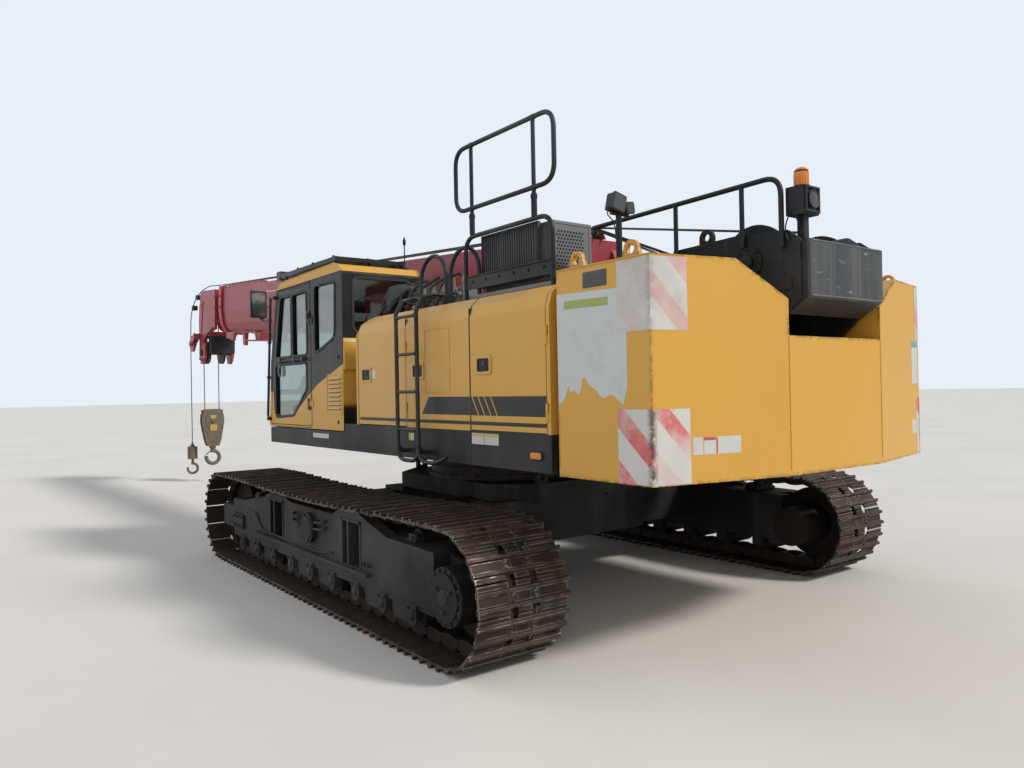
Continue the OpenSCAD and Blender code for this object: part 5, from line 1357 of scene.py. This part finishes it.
for (z0, z1), y in product(((1.47, 1.70), (1.76, 2.07), (2.09, 2.79)), (0.715, 1.425)):
    a, b = face_x(z0), face_x(z1)
    strip = [(a + 0.001, z0), (a + 0.007, z0), (b + 0.007, z1), (b + 0.001, z1)]
    front_trim.prism(strip, "y", y - 0.016, y + 0.016)
for z in (1.46, 1.73, 2.8):
    front_trim.box(face_x(z) - 0.002, face_x(z) + 0.007, 0.7, 1.44, z - 0.012, z + 0.012)
# the wiper: its arm, blade and motor
front_trim.tube([(face_x(1.8) + 0.02, 1.1, 1.78), (face_x(2.1) + 0.02, 1.05, 2.1),
                 (face_x(2.6) + 0.016, 0.98, 2.6)], 0.007, 8)
front_trim.tube([(face_x(2.15) + 0.012, 1.03, 2.15), (face_x(2.75) + 0.012, 0.98, 2.75)], 0.009, 6)
front_trim.box(face_x(1.77), face_x(1.77) + 0.03, 1.05, 1.16, 1.74, 1.79)
front_trim.make("front_rubber", "upper", rubber)
roof_cap = Piece()
roof_cap.prism([(0.60, 2.872), (0.595, 2.885), (2.27, 2.872), (2.29, 2.86)], "y", SKIN, 1.506)
for y in (SKIN, 0.64):
    roof_cap.tube([(0.61, y, 2.88), (0.67, y, 2.937), (0.77, y, 2.962), (2.16, y, 2.932), (2.29, y, 2.872)],
                  0.006, 8)
roof_cap.make("roof_edge", "upper", yellow, slot="body_yellow")
guard_bars = Piece()
for k in range(15):
    x = 0.86 + 0.095 * k
    guard_bars.box(x, x + 0.016, 0.7, 1.44, 3.035, 3.05)
guard_bars.bolts(product((0.9, 1.4, 1.8, 2.15), (0.7, 1.07, 1.44), (3.05,)), UP, 0.012, 0.01)
guard_bars.box(2.3, 2.32, 1.28, 1.46, 3.0, 3.02)
round_lamp(guard_bars, (2.43, 1.37, 3.04), AHEAD, 0.046, 0.02)
guard_bars.curved([(2.33, 1.4, 2.99), (2.31, 1.4, 2.96), (2.27, 1.41, 2.93), (2.24, 1.42, 2.91)], 0.006, 6)
guard_bars.lathe((0.77, 0.72, 2.96), UP, [(0, 0), (0.03, 0), (0.028, 0.02), (0.012, 0.05), (0, 0.05)], 20)
guard_bars.lathe((0.77, 0.72, 3.2), UP, [(0.006, 0), (0.016, 0.02), (0.016, 0.06), (0.006, 0.08)], 16)
guard_bars.make("roof_guard_bars", "upper", rail_paint, slot="rail_black")
cab_lamp = Piece()
cab_lamp.lathe((2.447, 1.37, 3.04), AHEAD, [(0.044, 0), (0.036, 0.004), (0, 0.006)], 24)
cab_lamp.make("cab_lamp_glass", "upper", clear_lens)
mirrors = Piece()
mirror_edge = [(1.448, 2.615), (1.608, 2.615), (1.608, 2.9), (1.448, 2.9)]
frame_round(mirrors, mirror_edge, 0.03, 0.012, "x", 2.776, 2.785)
mirrors.pad(1.438, 1.618, 2.605, 2.91, 0.035, "x", 2.808, 2.822)
mirrors.pad(1.463, 1.533, 2.585, 2.64, 0.015, "x", 2.76, 2.777)
mirrors.bent([(2.51, 1.5, 2.56), (2.7, 1.48, 2.545), (2.79, 1.5, 2.585)], 0.03, 0.011, 8)
profile = [(0.014, -0.02), (0.021, -0.016), (0.021, 0.016), (0.014, 0.02)]
for z in (1.9, 2.3, 2.55):
    mirrors.lathe((2.47 + 0.14 * (2.8 - z) / 1.33, SKIN, z), UP, profile, 16)
mirrors.pad(1.24, 1.38, 2.44, 2.66, 0.03, "x", 2.2, 2.215)
mirrors.tube([(2.205, 1.31, 2.66), (2.2, 1.32, 2.8)], 0.008, 6)
mirrors.make("mirror_cases", "upper", plastic, bevel=0.003, steps=2, slot="rail_black")
reflect = Piece()
reflect.pad(1.45, 1.606, 2.617, 2.898, 0.028, "x", 2.7785, 2.7795)
reflect.make("mirror_faces", "upper", mirror_glass)
yellow_strip = Piece()
yellow_strip.prism([(0.575, 1.93), (0.575, 2.2), (0.6, 2.235), (0.6, 1.93)], "y", 1.36, 1.497)
yellow_strip.make("cab_rear_strip", "upper", yellow, bevel=0.004, slot="body_yellow")

# Seat, consoles and levers

inner = Piece()
mid = 1.07
inner.pad(1.18, 1.56, mid - 0.16, mid + 0.16, 0.04, "z", 1.39, 1.56)
for k in range(7):
    z = 1.56 + 0.022 * k
    d = 0.008 * (k % 2)
    inner.pad(1.2 - d, 1.54 + d, mid - 0.15 - d, mid + 0.15 + d, 0.05, "z", z, z + 0.022)
inner.pad(1.11, 1.62, mid - 0.23, mid + 0.23, 0.05, "z", 1.7145, 1.735)
inner.prism([(1.045, 1.86), (1.1, 1.86), (1.1, 2.42), (1.045, 2.42)], "y", mid - 0.2, mid + 0.2)
boot = [(0.045, 0), (0.035, 0.02), (0.028, 0.024), (0.02, 0.045), (0.01, 0.05), (0.009, 0.12), (0.0, 0.12)]
knob = [(0, 0), (0.015, 0.002), (0.022, 0.02), (0.023, 0.045), (0.017, 0.062), (0, 0.065)]
for y in (mid - 0.31, mid + 0.31):
    inner.prism([(1.2, 1.39), (1.8, 1.39), (1.8, 1.83), (1.74, 1.9), (1.2, 1.9)], "y", y - 0.052, y + 0.052)
    inner.pad(1.2, 1.55, y - 0.05, y + 0.05, 0.03, "z", 1.9, 1.925)
    inner.lathe((1.74, y, 1.88), UP, boot, 20)
    inner.lathe((1.74, y, 1.995), UP, knob, 20)
    for k in range(4):
        inner.box(1.6 + 0.03 * k, 1.618 + 0.03 * k, y - 0.03, y + 0.03, 1.9, 1.908)
inner.prism([(2.18, 1.39), (2.3, 1.39), (2.3, 1.82), (2.24, 1.95), (2.18, 1.93)], "y", mid - 0.088,
            mid + 0.088)
for s in (-1, 1):
    y = mid + s * 0.18
    inner.prism([(2.1, 1.42), (2.22, 1.5), (2.22, 1.51), (2.1, 1.43)], "y", y - 0.05, y + 0.05)
    inner.tube([(2.16, y, 1.46), (2.14, mid + s * 0.17, 1.62), (2.08, mid + s * 0.16, 1.76)], 0.01, 8)
inner.make("cab_consoles", "upper", plastic, bevel=0.004, steps=2, stands_for=["seat"])


def padded_form(name, corners, thick, crown, place):
    """A crowned cushion whose sides pull in between its corners, swelled as cloth."""
    p = Piece(UPPER @ place)
    w, d = corners
    n = 14
    points = []
    for level, j, i in product((0, 1), range(n + 1), range(n + 1)):
        u, v = 2 * i / n - 1, 2 * j / n - 1
        pull = 0.965 + 0.035 * max(abs(u), abs(v)) ** 4 if abs(u * v) < 0.8 else 1.0
        height = thick * (0.5 + crown * (1 - u ** 4) * (1 - v ** 4)) if level else -0.5 * thick
        points.append((0.5 * w * u * pull, 0.5 * d * v * pull, height))
    row = n + 1
    top = row * row
    faces = []
    for j, i in product(range(n), range(n)):
        a = j * row + i
        b = top + a
        faces += [(a, a + row, a + row + 1, a + 1), (b, b + 1, b + row + 1, b + row)]
    for i in range(n):
        a = n * row + i
        faces += [(i, i + 1, top + i + 1, top + i), (a + 1, a, top + a, top + a + 1)]
    for j in range(n):
        a = j * row
        b = a + n
        faces += [(a + row, a, top + a, top + a + row), (b, b + row, top + b + row, top + b)]
    p.add(points, faces)
    thing = p.make(name, "upper", fabric, bevel=0.0, slot="seat_fabric")
    swell(thing, 0.02)
    return thing


def swell(thing, cap):
    """Blows the closed form up a little as cloth and keeps each point within the cap."""
    remesh = thing.modifiers.new("remesh", "REMESH")
    remesh.mode = "VOXEL"
    remesh.voxel_size = 0.009
    bake(thing)
    rest = [v.co.copy() for v in thing.data.vertices]
    cloth = thing.modifiers.new("cloth", "CLOTH")
    cloth.settings.use_pressure = True
    cloth.settings.uniform_pressure_force = 4
    cloth.settings.effector_weights.gravity = 0
    cloth.settings.quality = 5
    cloth.point_cache.frame_start, cloth.point_cache.frame_end = 1, 14
    scene = bpy.context.scene
    for number in range(1, 15):
        scene.frame_set(number)
    bake(thing)
    scene.frame_set(1)
    for v, old in zip(thing.data.vertices, rest):
        move = v.co - old
        if move.length > cap:
            v.co = old + move.normalized() * cap
    divide = thing.modifiers.new("divide", "SUBSURF")
    divide.levels = divide.render_levels = 1
    bake(thing)


def bake(thing):
    """Turns the object's modifiers into its own mesh."""
    bpy.context.view_layer.update()
    shown = thing.evaluated_get(bpy.context.evaluated_depsgraph_get())
    mesh = bpy.data.meshes.new_from_object(shown)
    thing.modifiers.clear()
    old = thing.data
    thing.data = mesh
    bpy.data.meshes.remove(old)
    for face in thing.data.polygons:
        face.use_smooth = True


flat = Matrix.Translation((1.37, mid, 1.79))
padded_form("seat_cushion", (0.48, 0.43), 0.07, 0.3, flat)
leaning = Matrix.Translation((1.145, mid, 2.18)) @ Matrix.Rotation(math.radians(97), 4, "Y")
padded_form("seat_back", (0.58, 0.41), 0.06, 0.35, leaning)
head_place = Matrix.Translation((1.085, mid, 2.6)) @ Matrix.Rotation(math.radians(97), 4, "Y")
padded_form("seat_headrest", (0.14, 0.22), 0.05, 0.3, head_place)
seat_seams = Piece()
for s in (-1, 1):
    a, b, c = mid + s * 0.13, mid + s * 0.135, mid + s * 0.14
    seat_seams.curved([(1.15, b, 1.832), (1.37, c, 1.85), (1.57, b, 1.83)], 0.003, 6)
    seat_seams.curved([(1.215, a, 1.93), (1.2, b, 2.18), (1.155, a, 2.43)], 0.003, 6)
seat_seams.make("seat_seams", "upper", rubber)


# Boom, its head and the hoist ropes

# height of the ropes above the boom's axis, and where each section comes out of the one before
ROPE_V = 0.8
STEPS = (("boom_base", 9.80), ("boom_second", 9.96), ("boom_third", 10.12), ("boom_head", 10.30))
top = Piece(BOOM)
top.prism([(8.45, 0.69), (8.56, 0.735), (9.6, 0.752), (9.72, 0.69)], "y", -0.2, 0.2)
top.bolts(product((8.7, 9.1, 9.45), (-0.16, 0.16), (0.744,)), UP, 0.016, 0.012)
# rail and tabs below the boom
top.bent([(6.4, 0.2, -0.11), (6.5, 0.2, -0.235), (8.7, 0.2, -0.245), (8.76, 0.2, -0.11)], 0.05, 0.014, 10)
for s in (6.9, 7.6, 8.2):
    top.prism([(s - 0.03, -0.11), (s + 0.03, -0.11), (s + 0.015, -0.25), (s - 0.015, -0.25)], "y", 0.192,
              0.208)
top.prism([(8.72, -0.1), (8.9, -0.1), (8.86, -0.32), (8.76, -0.33)], "y", 0.15, 0.2)
top.prism([(9.2, -0.1), (9.6, -0.1), (9.66, -0.2), (9.25, -0.25)], "y", 0.2, 0.25)
for y in (-0.088, 0.076):
    top.prism([(0.2, 0.692), (0.25, 0.78), (0.35, 0.78), (0.42, 0.692)], "y", y, y + 0.012)
for z, y in product((-0.108, 0.692), (-0.236, 0.236)):
    top.tube([(0.3, y, z), (9.7, y, z)], 0.006, 6)
for s in (1.6, 3.2, 4.8, 6.4, 8.0):
    top.box(s - 0.06, s + 0.06, -0.2, 0.2, 0.692, 0.7)
top.make("boom_base_fittings", "boom_base", red, bevel=0.002, slot="boom_red")
pulleys = Piece(BOOM)
groove = [(0.012, 0), (0.05, 0), (0.05, 0.006), (0.041, 0.016), (0.041, 0.028), (0.05, 0.038), (0.05, 0.044),
          (0.012, 0.044)]
for y in (-0.04, 0.04):
    pulleys.lathe((0.3, y - 0.022, 0.745), LEFT, groove, 32)
pulleys.rod((0.3, -0.098, 0.745), (0.3, 0.098, 0.745), 0.014, 16, lip=0.003)
pulleys.make("rope_guide_pulleys", "boom_base", sheave_steel, slot="sheave_grey")
stripe = Piece(BOOM)
stripe.box(4.4, 7.85, 0.2802, 0.2811, 0.53, 0.542)
stripe.box(4.4, 7.85, -0.2811, -0.2802, 0.53, 0.542)
stripe.make("boom_side_line", "boom_base", white_label)
for word, s in (("base", 9.86), ("second", 10.02), ("third", 10.18)):
    lugs = Piece(BOOM)
    for v, side in product((0.1, 0.35, 0.55), (-1, 1)):
        lugs.bolt((s - 0.065, side * 0.318, v), (0, side, 0), 0.016, 0.012)
    lugs.bolts(product((s - 0.065,), (-0.15, 0.15), (0.73,)), UP, 0.016, 0.012)
    lugs.make("collar_bolts_" + word, "boom_" + word, red, slot="boom_red")

tip = Piece(BOOM)
tip.box(10.617, 10.793, -0.2215, 0.2215, -0.503, -0.174)
for s, (y0, y1) in product((10.65, 10.74), ((0.2215, 0.227), (-0.227, -0.2215))):
    tip.box(s, s + 0.012, y0, y1, -0.49, -0.19)
for y in (-0.1, 0.1):
    tip.box(10.611, 10.617, y - 0.008, y + 0.008, -0.49, -0.19)
cap = [(0, 0), (0.072, 0), (0.072, 0.014), (0.045, 0.018), (0.045, 0.03), (0, 0.03)]
for side in (-1, 1):
    y = side * 0.281
    tip.lathe((11.05, y, -0.5), (0, side, 0), cap, 24)
    tip.bolt_circle((11.05, y + side * 0.014, -0.5), (0, side, 0), 0.058, 6, 0.008, 0.007)
    tip.bolts([(11.02, y, 0.42), (10.96, y, -0.64), (11.14, y, -0.62)], (0, side, 0), 0.02, 0.014)
tip.curved([(10.3, 0.292, -0.02), (10.5, 0.3, -0.1), (10.72, 0.3, -0.2), (10.88, 0.292, -0.3)], 0.012, 8)
tip.make("head_guard", "boom_head", black, bevel=0.003, slot="winch_black")
beak = Piece(BOOM)
for y0, y1 in ((0.28, 0.292), (-0.292, -0.28)):
    beak.prism([(10.95, 0.5), (11.17, 0.42), (11.2, 0.1), (11.18, -0.1), (11.05, -0.1)], "y", y0, y1)
for v in (0.56, 0.36):
    beak.box(11.15, 11.42, 0.2, 0.22, v - 0.012, v + 0.012)
cap = [(0, 0), (0.05, 0), (0.05, 0.01), (0.03, 0.014), (0, 0.014)]
for y, turn in ((0.304, -1), (0.406, 1)):
    beak.lathe((11.38, y, -0.33), (0, turn, 0), cap, 20)
beak.make("head_cheek_plates", "boom_head", red, bevel=0.002, slot="boom_red")
tip_lamps = Piece(BOOM)
tip_glass = Piece(BOOM)
for s, y, v in ((11.42, 0.235, 0.585), (11.45, 0.3, 0.375)):
    tip_lamps.pad(y - 0.045, y + 0.045, v - 0.045, v + 0.045, 0.018, "x", s - 0.05, s + 0.03)
    tip_lamps.pad(y - 0.05, y + 0.05, v - 0.05, v + 0.05, 0.02, "x", s + 0.03, s + 0.045)
    for k in range(4):
        tip_lamps.box(s - 0.065, s - 0.05, y - 0.036 + 0.021 * k, y - 0.028 + 0.021 * k, v - 0.035, v + 0.035)
    tip_glass.pad(y - 0.042, y + 0.042, v - 0.042, v + 0.042, 0.014, "x", s + 0.0451, s + 0.047)
tip_lamps.make("tip_lamps", "boom_head", plastic, bevel=0.002)
tip_glass.make("tip_lamp_glasses", "boom_head", clear_lens)


# Hoist ropes: from the drums to the boom's foot, along its sections and over the head
def rope_line(name, points, frame_matrix, *bodies):
    """A rope that rides on one body, or one drawn between two bodies that rides on neither."""
    p = Piece(frame_matrix)
    p.tube(points, 0.009, 8)
    thing = p.make(name, bodies[0] if len(bodies) == 1 else None, rope, slot="rope_steel")
    if len(bodies) == 2:
        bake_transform(thing)


def straight(a, b, count=12):
    """Points evenly from a to b."""
    return [Vector(a).lerp(Vector(b), k / count) for k in range(count + 1)]


for word, y, leave, over in (
        ("main", -0.04, (-3.235, 2.738), [(10.8, -0.06, 0.8), (11.02, -0.09, 0.79), (11.2, -0.098, 0.66),
                                          (11.257, -0.098, 0.3), (11.257, -0.098, -0.5)]),
        ("aux", 0.04, (-2.793, 2.437), [(10.8, 0.07, 0.8), (11.05, 0.16, 0.78), (11.3, 0.29, 0.6),
                                        (11.5, 0.35, 0.25), (11.527, 0.355, -0.33)])):
    drum_point = UPPER @ Vector((leave[0], y, leave[1]))
    guide = (0.3, y, ROPE_V - 0.003)
    rope_line("hoist_rope_" + word, straight(drum_point, BOOM @ Vector(guide)), Matrix.Identity(4), "upper",
              "boom_base")
    rope_line("boom_rope_" + word, straight(guide, (STEPS[0][1], y, ROPE_V), 30), BOOM, "boom_base")
    for (body_a, s0), (body_b, s1) in zip(STEPS, STEPS[1:]):
        line = straight((s0, y, ROPE_V), (s1, y, ROPE_V), 8)
        rope_line(body_b + "_rope_" + word, line, BOOM, body_a, body_b)
    rope_line("head_rope_" + word, curve_through([(STEPS[-1][1], y, ROPE_V), *over]), BOOM, "boom_head")


# Luffing cylinder: pipe, clamps and gland
CYL = UPPER @ Matrix.Translation((-0.25, 0, 1.56)) @ Matrix.Rotation(math.radians(-12.75), 4, "Y")
barrel = Piece(CYL)
barrel.bent([(0.3, 0, 0.139), (0.3, 0, 0.17), (2.3, 0, 0.17), (2.3, 0, 0.139)], 0.02, 0.014, 10)
for s in (0.7, 1.3, 1.9):
    barrel.box(s - 0.025, s + 0.025, -0.03, 0.03, 0.135, 0.19)
    barrel.bolt((s, 0, 0.19), UP, 0.01, 0.008)
barrel.bolt_circle((2.4862, 0, 0), AHEAD, 0.118, 12, 0.011, 0.004)
barrel.make("barrel_fittings", "luff_barrel", black, bevel=0.002, slot="winch_black")

# Hook block and the weight of the single line, and where they hang

HOOK_X, HOOK_Y = 9.768844, 0.04
FLY_X, FLY_Y = 10.026851, 0.355
block = Piece()
for s in (-1, 1):
    face = HOOK_X + s * 0.076
    for z, r in ((1.2, 0.15), (0.86, 0.09)):
        rim = [(0, 0.004), (r - 0.012, 0.004), (r - 0.008, 0.009), (r, 0.009), (r, 0)]
        block.lathe((face, HOOK_Y, z), (s, 0, 0), rim, 40)
    block.lathe((face, HOOK_Y, 1.2), (s, 0, 0), [(0, 0.03), (0.034, 0.03), (0.04, 0.024), (0.04, 0)], 24)
    for y in (-0.13, 0.21):
        block.bolts([(face, y, 1.39), (face, 0.7 * y, 0.98)], (s, 0, 0), 0.018, 0.014)
    block.bolts([(face, HOOK_Y, 0.76), (face, HOOK_Y, 0.8)], (s, 0, 0), 0.014, 0.012)
neck = [(0, 0), (0.042, 0), (0.05, 0.01), (0.05, 0.05), (0.036, 0.058), (0, 0.058)]
block.lathe((HOOK_X, HOOK_Y, 0.64), UP, neck, 28)
block.make("block_bosses", "main_hang", hook_steel, slot="hook_grey")
badge = Piece()
for s in (-1, 1):
    face = HOOK_X + s * 0.0855
    x0, x1 = sorted((face, face + s * 0.003))
    badge.pad(-0.03, 0.11, 1.0, 1.13, 0.03, "x", x0, x1)
    badge.prism([(0.0, 1.24), (0.08, 1.24), (0.11, 1.31), (-0.03, 1.31)], "x", x0, x1)
worn_yellow = painted("worn_yellow", (0.42, 0.29, 0.07), rough=0.6, dusty=0.4, wear=0.9,
                      worn=(0.16, 0.13, 0.1))
badge.make("block_patches", "main_hang", worn_yellow, slot="hook_grey")
rings = Piece()
for z in (0.454, 0.564, 0.674):
    rings.lathe((FLY_X, FLY_Y, z), UP, [(0.0915, 0), (0.0945, 0.003), (0.0945, 0.009), (0.0915, 0.012)], 32)
rings.lathe((FLY_X, FLY_Y, 0.69), UP, [(0.05, 0), (0.045, 0.02), (0.022, 0.05), (0.014, 0.09), (0, 0.09)], 24)
rings.make("ball_rings", "aux_hang", hook_steel, slot="hook_grey")
tongue = Piece()
tongue.prism([(0.066, 0.6), (0.08, 0.612), (0.172, 0.545), (0.16, 0.53)], "x", HOOK_X - 0.014, HOOK_X + 0.014)
tongue.prism([(0.02, 0.6), (0.08, 0.6), (0.08, 0.622), (0.02, 0.622)], "x", HOOK_X - 0.034, HOOK_X + 0.034)
tongue.lathe((HOOK_X, HOOK_Y, 0.598), UP, [(0.03, 0), (0.044, 0.006), (0.044, 0.034), (0.03, 0.04)], 20)
tongue.make("hook_latch", "main_hook", hook_steel, slot="hook_grey")

# Engine bay, right tank and the undercarriage's hoses

bay = Piece()
x0, x1 = -1.5, -0.45
for k in range(6):
    bay.box(x0 + 0.08 + 0.155 * k, x0 + 0.19 + 0.155 * k, 0.86, 1.06, 2.05, 2.1)
bay.rod((x0 + 0.1, 1.18, 2.12), (x1 - 0.25, 1.18, 2.12), 0.075, 24, lip=0.01)
bay.bent([(x1 - 0.2, 1.18, 2.12), (x1 - 0.05, 1.18, 2.12), (x1 - 0.05, 1.1, 1.9), (x1 - 0.05, 1.0, 1.7)],
         0.08, 0.05, 16)
for k in range(9):
    bay.lathe((x0 + 0.15 + 0.1 * k, 1.281, 1.6), LEFT, [(0, 0), (0.025, 0), (0.025, 0.02), (0, 0.02)], 8)
for z in (1.4, 1.75, 1.95):
    bay.box(x0 + 0.05, x1 - 0.05, 1.28, 1.295, z, z + 0.02)
bay.make("engine_dress", "upper", engine_paint, bevel=0.004, slot="engine_grey")
right = Piece()
right.lathe((1.6, -1.05, 1.85), UP, [(0, 0), (0.065, 0), (0.065, 0.03), (0.055, 0.045), (0, 0.045)], 28)
for x in (1.45, 1.98):
    right.bent([(x, -0.72, 1.853), (x, -1.433, 1.853), (x, -1.433, 1.25)], 0.02, 0.008, 6)
for k in range(9):
    right.box(2.18 + 0.035 * k, 2.195 + 0.035 * k, -1.38, -0.78, 1.5, 1.504)
right.bent([(2.1, -1.45, 1.3), (2.1, -1.5, 1.35), (2.1, -1.5, 1.95), (2.1, -1.43, 2.0), (2.1, -1.0, 2.0),
                    (2.1, -0.95, 1.86)], 0.05, 0.014, 10)
right.make("tank_fittings", "upper", black, bevel=0.002, slot="chassis_black")
for side, word in SIDES:
    under = Piece(mirrored(side))
    for k in range(3):
        x = -0.55 + 0.05 * k
        under.curved([(x, 0.35, 0.78), (x - 0.02, 0.6, 0.76), (x - 0.04, 0.95, 0.745 + 0.01 * k),
                      (x - 0.06, 1.3, 0.75), (x - 0.07, 1.62, 0.77), (x - 0.06, 1.7, 0.74)], 0.014, 8)
    hoses = under.make("travel_hoses_" + word, None, hose)
    ends = [tuple(UPPER @ Vector((-0.55, side * y, 0.76))) for y in (0.6, 1.5)]
    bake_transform(hoses)
ring = Piece()
ring.bolt_circle((0, 0, 0.93), UP, 0.8, 36, 0.014, 0.012)
ring.make("ring_bolts", "carbody", ring_steel, slot="bearing_steel")


# Floor, lamps and camera

def studio():
    """A pale floor, a pale sky that only the camera sees brightly, and three suns."""
    floor_mesh = bpy.data.meshes.new("floor")
    size = 160
    corners = [(-size, -size, 0), (size, -size, 0), (size, size, 0), (-size, size, 0)]
    floor_mesh.from_pydata(corners, [], [(0, 1, 2, 3)])
    floor = bpy.data.objects.new("floor", floor_mesh)
    bpy.context.scene.collection.objects.link(floor)
    s = Shader("floor_pale")
    mottled = s.ramp(s.noise(0.35, 6), 0.3, 0.8)
    pale = s.mix(mottled, (0.66, 0.64, 0.61), (0.6, 0.585, 0.56))
    floor_mesh.materials.append(s.set(Base_Color=pale, Roughness=0.85))
    s.bsdf.inputs["Specular IOR Level"].default_value = 0.1
    world = bpy.data.worlds.new("studio")
    bpy.context.scene.world = world
    world.use_nodes = True
    tree = world.node_tree
    tree.nodes.clear()
    out = tree.nodes.new("ShaderNodeOutputWorld")
    light = tree.nodes.new("ShaderNodeBackground")
    light.inputs[0].default_value = (0.88, 0.93, 1.0, 1)
    light.inputs[1].default_value = 0.5
    seen = tree.nodes.new("ShaderNodeBackground")
    seen.inputs[0].default_value = (0.80, 0.86, 0.93, 1)
    seen.inputs[1].default_value = 1.0
    path = tree.nodes.new("ShaderNodeLightPath")
    either = tree.nodes.new("ShaderNodeMath")
    either.operation = "MAXIMUM"
    tree.links.new(path.outputs["Is Camera Ray"], either.inputs[0])
    tree.links.new(path.outputs["Is Transmission Ray"], either.inputs[1])
    mixed = tree.nodes.new("ShaderNodeMixShader")
    tree.links.new(either.outputs[0], mixed.inputs[0])
    tree.links.new(light.outputs[0], mixed.inputs[1])
    tree.links.new(seen.outputs[0], mixed.inputs[2])
    tree.links.new(mixed.outputs[0], out.inputs[0])
    for name, toward, strength, angle, colour in (
            ("key", (-14, -9, 14), 2.5, 9, (1.0, 0.96, 0.9)),
            ("fill", (-8, 14, 9), 0.42, 60, (0.92, 0.96, 1.0)),
            ("front", (14, 6, 8), 0.5, 60, (1.0, 1.0, 1.0))):
        data = bpy.data.lights.new(name, "SUN")
        data.energy = strength
        data.angle = math.radians(angle)
        data.color = colour
        lamp = bpy.data.objects.new(name, data)
        bpy.context.scene.collection.objects.link(lamp)
        lamp.rotation_mode = "QUATERNION"
        lamp.rotation_quaternion = (-Vector(toward)).to_track_quat("-Z", "Y")


def camera():
    """The photograph's view: its place is measured from the slewing axis."""
    yaw, pitch, roll = (math.radians(v) for v in (-37.086, 0.336, -1.096))
    ahead = Vector((math.cos(yaw) * math.cos(pitch), math.sin(yaw) * math.cos(pitch), math.sin(pitch)))
    right = Vector((math.sin(yaw), -math.cos(yaw), 0))
    up = right.cross(ahead)
    turned = math.cos(roll) * right + math.sin(roll) * up
    risen = -math.sin(roll) * right + math.cos(roll) * up
    data = bpy.data.cameras.new("camera")
    data.sensor_width = 36
    focal_pixels, picture_width = 789.1, 1024
    data.lens = focal_pixels / picture_width * data.sensor_width
    data.clip_start, data.clip_end = 0.05, 500
    thing = bpy.data.objects.new("camera", data)
    bpy.context.scene.collection.objects.link(thing)
    m = Matrix.Identity(4)
    for i in range(3):
        m[i][0], m[i][1], m[i][2] = turned[i], risen[i], -ahead[i]
    m.translation = Vector((-6.314 + SLEW, 4.727, 1.72))
    thing.matrix_world = m
    bpy.context.scene.camera = thing


studio()
camera()
bpy.context.scene.view_settings.view_transform = "Standard"
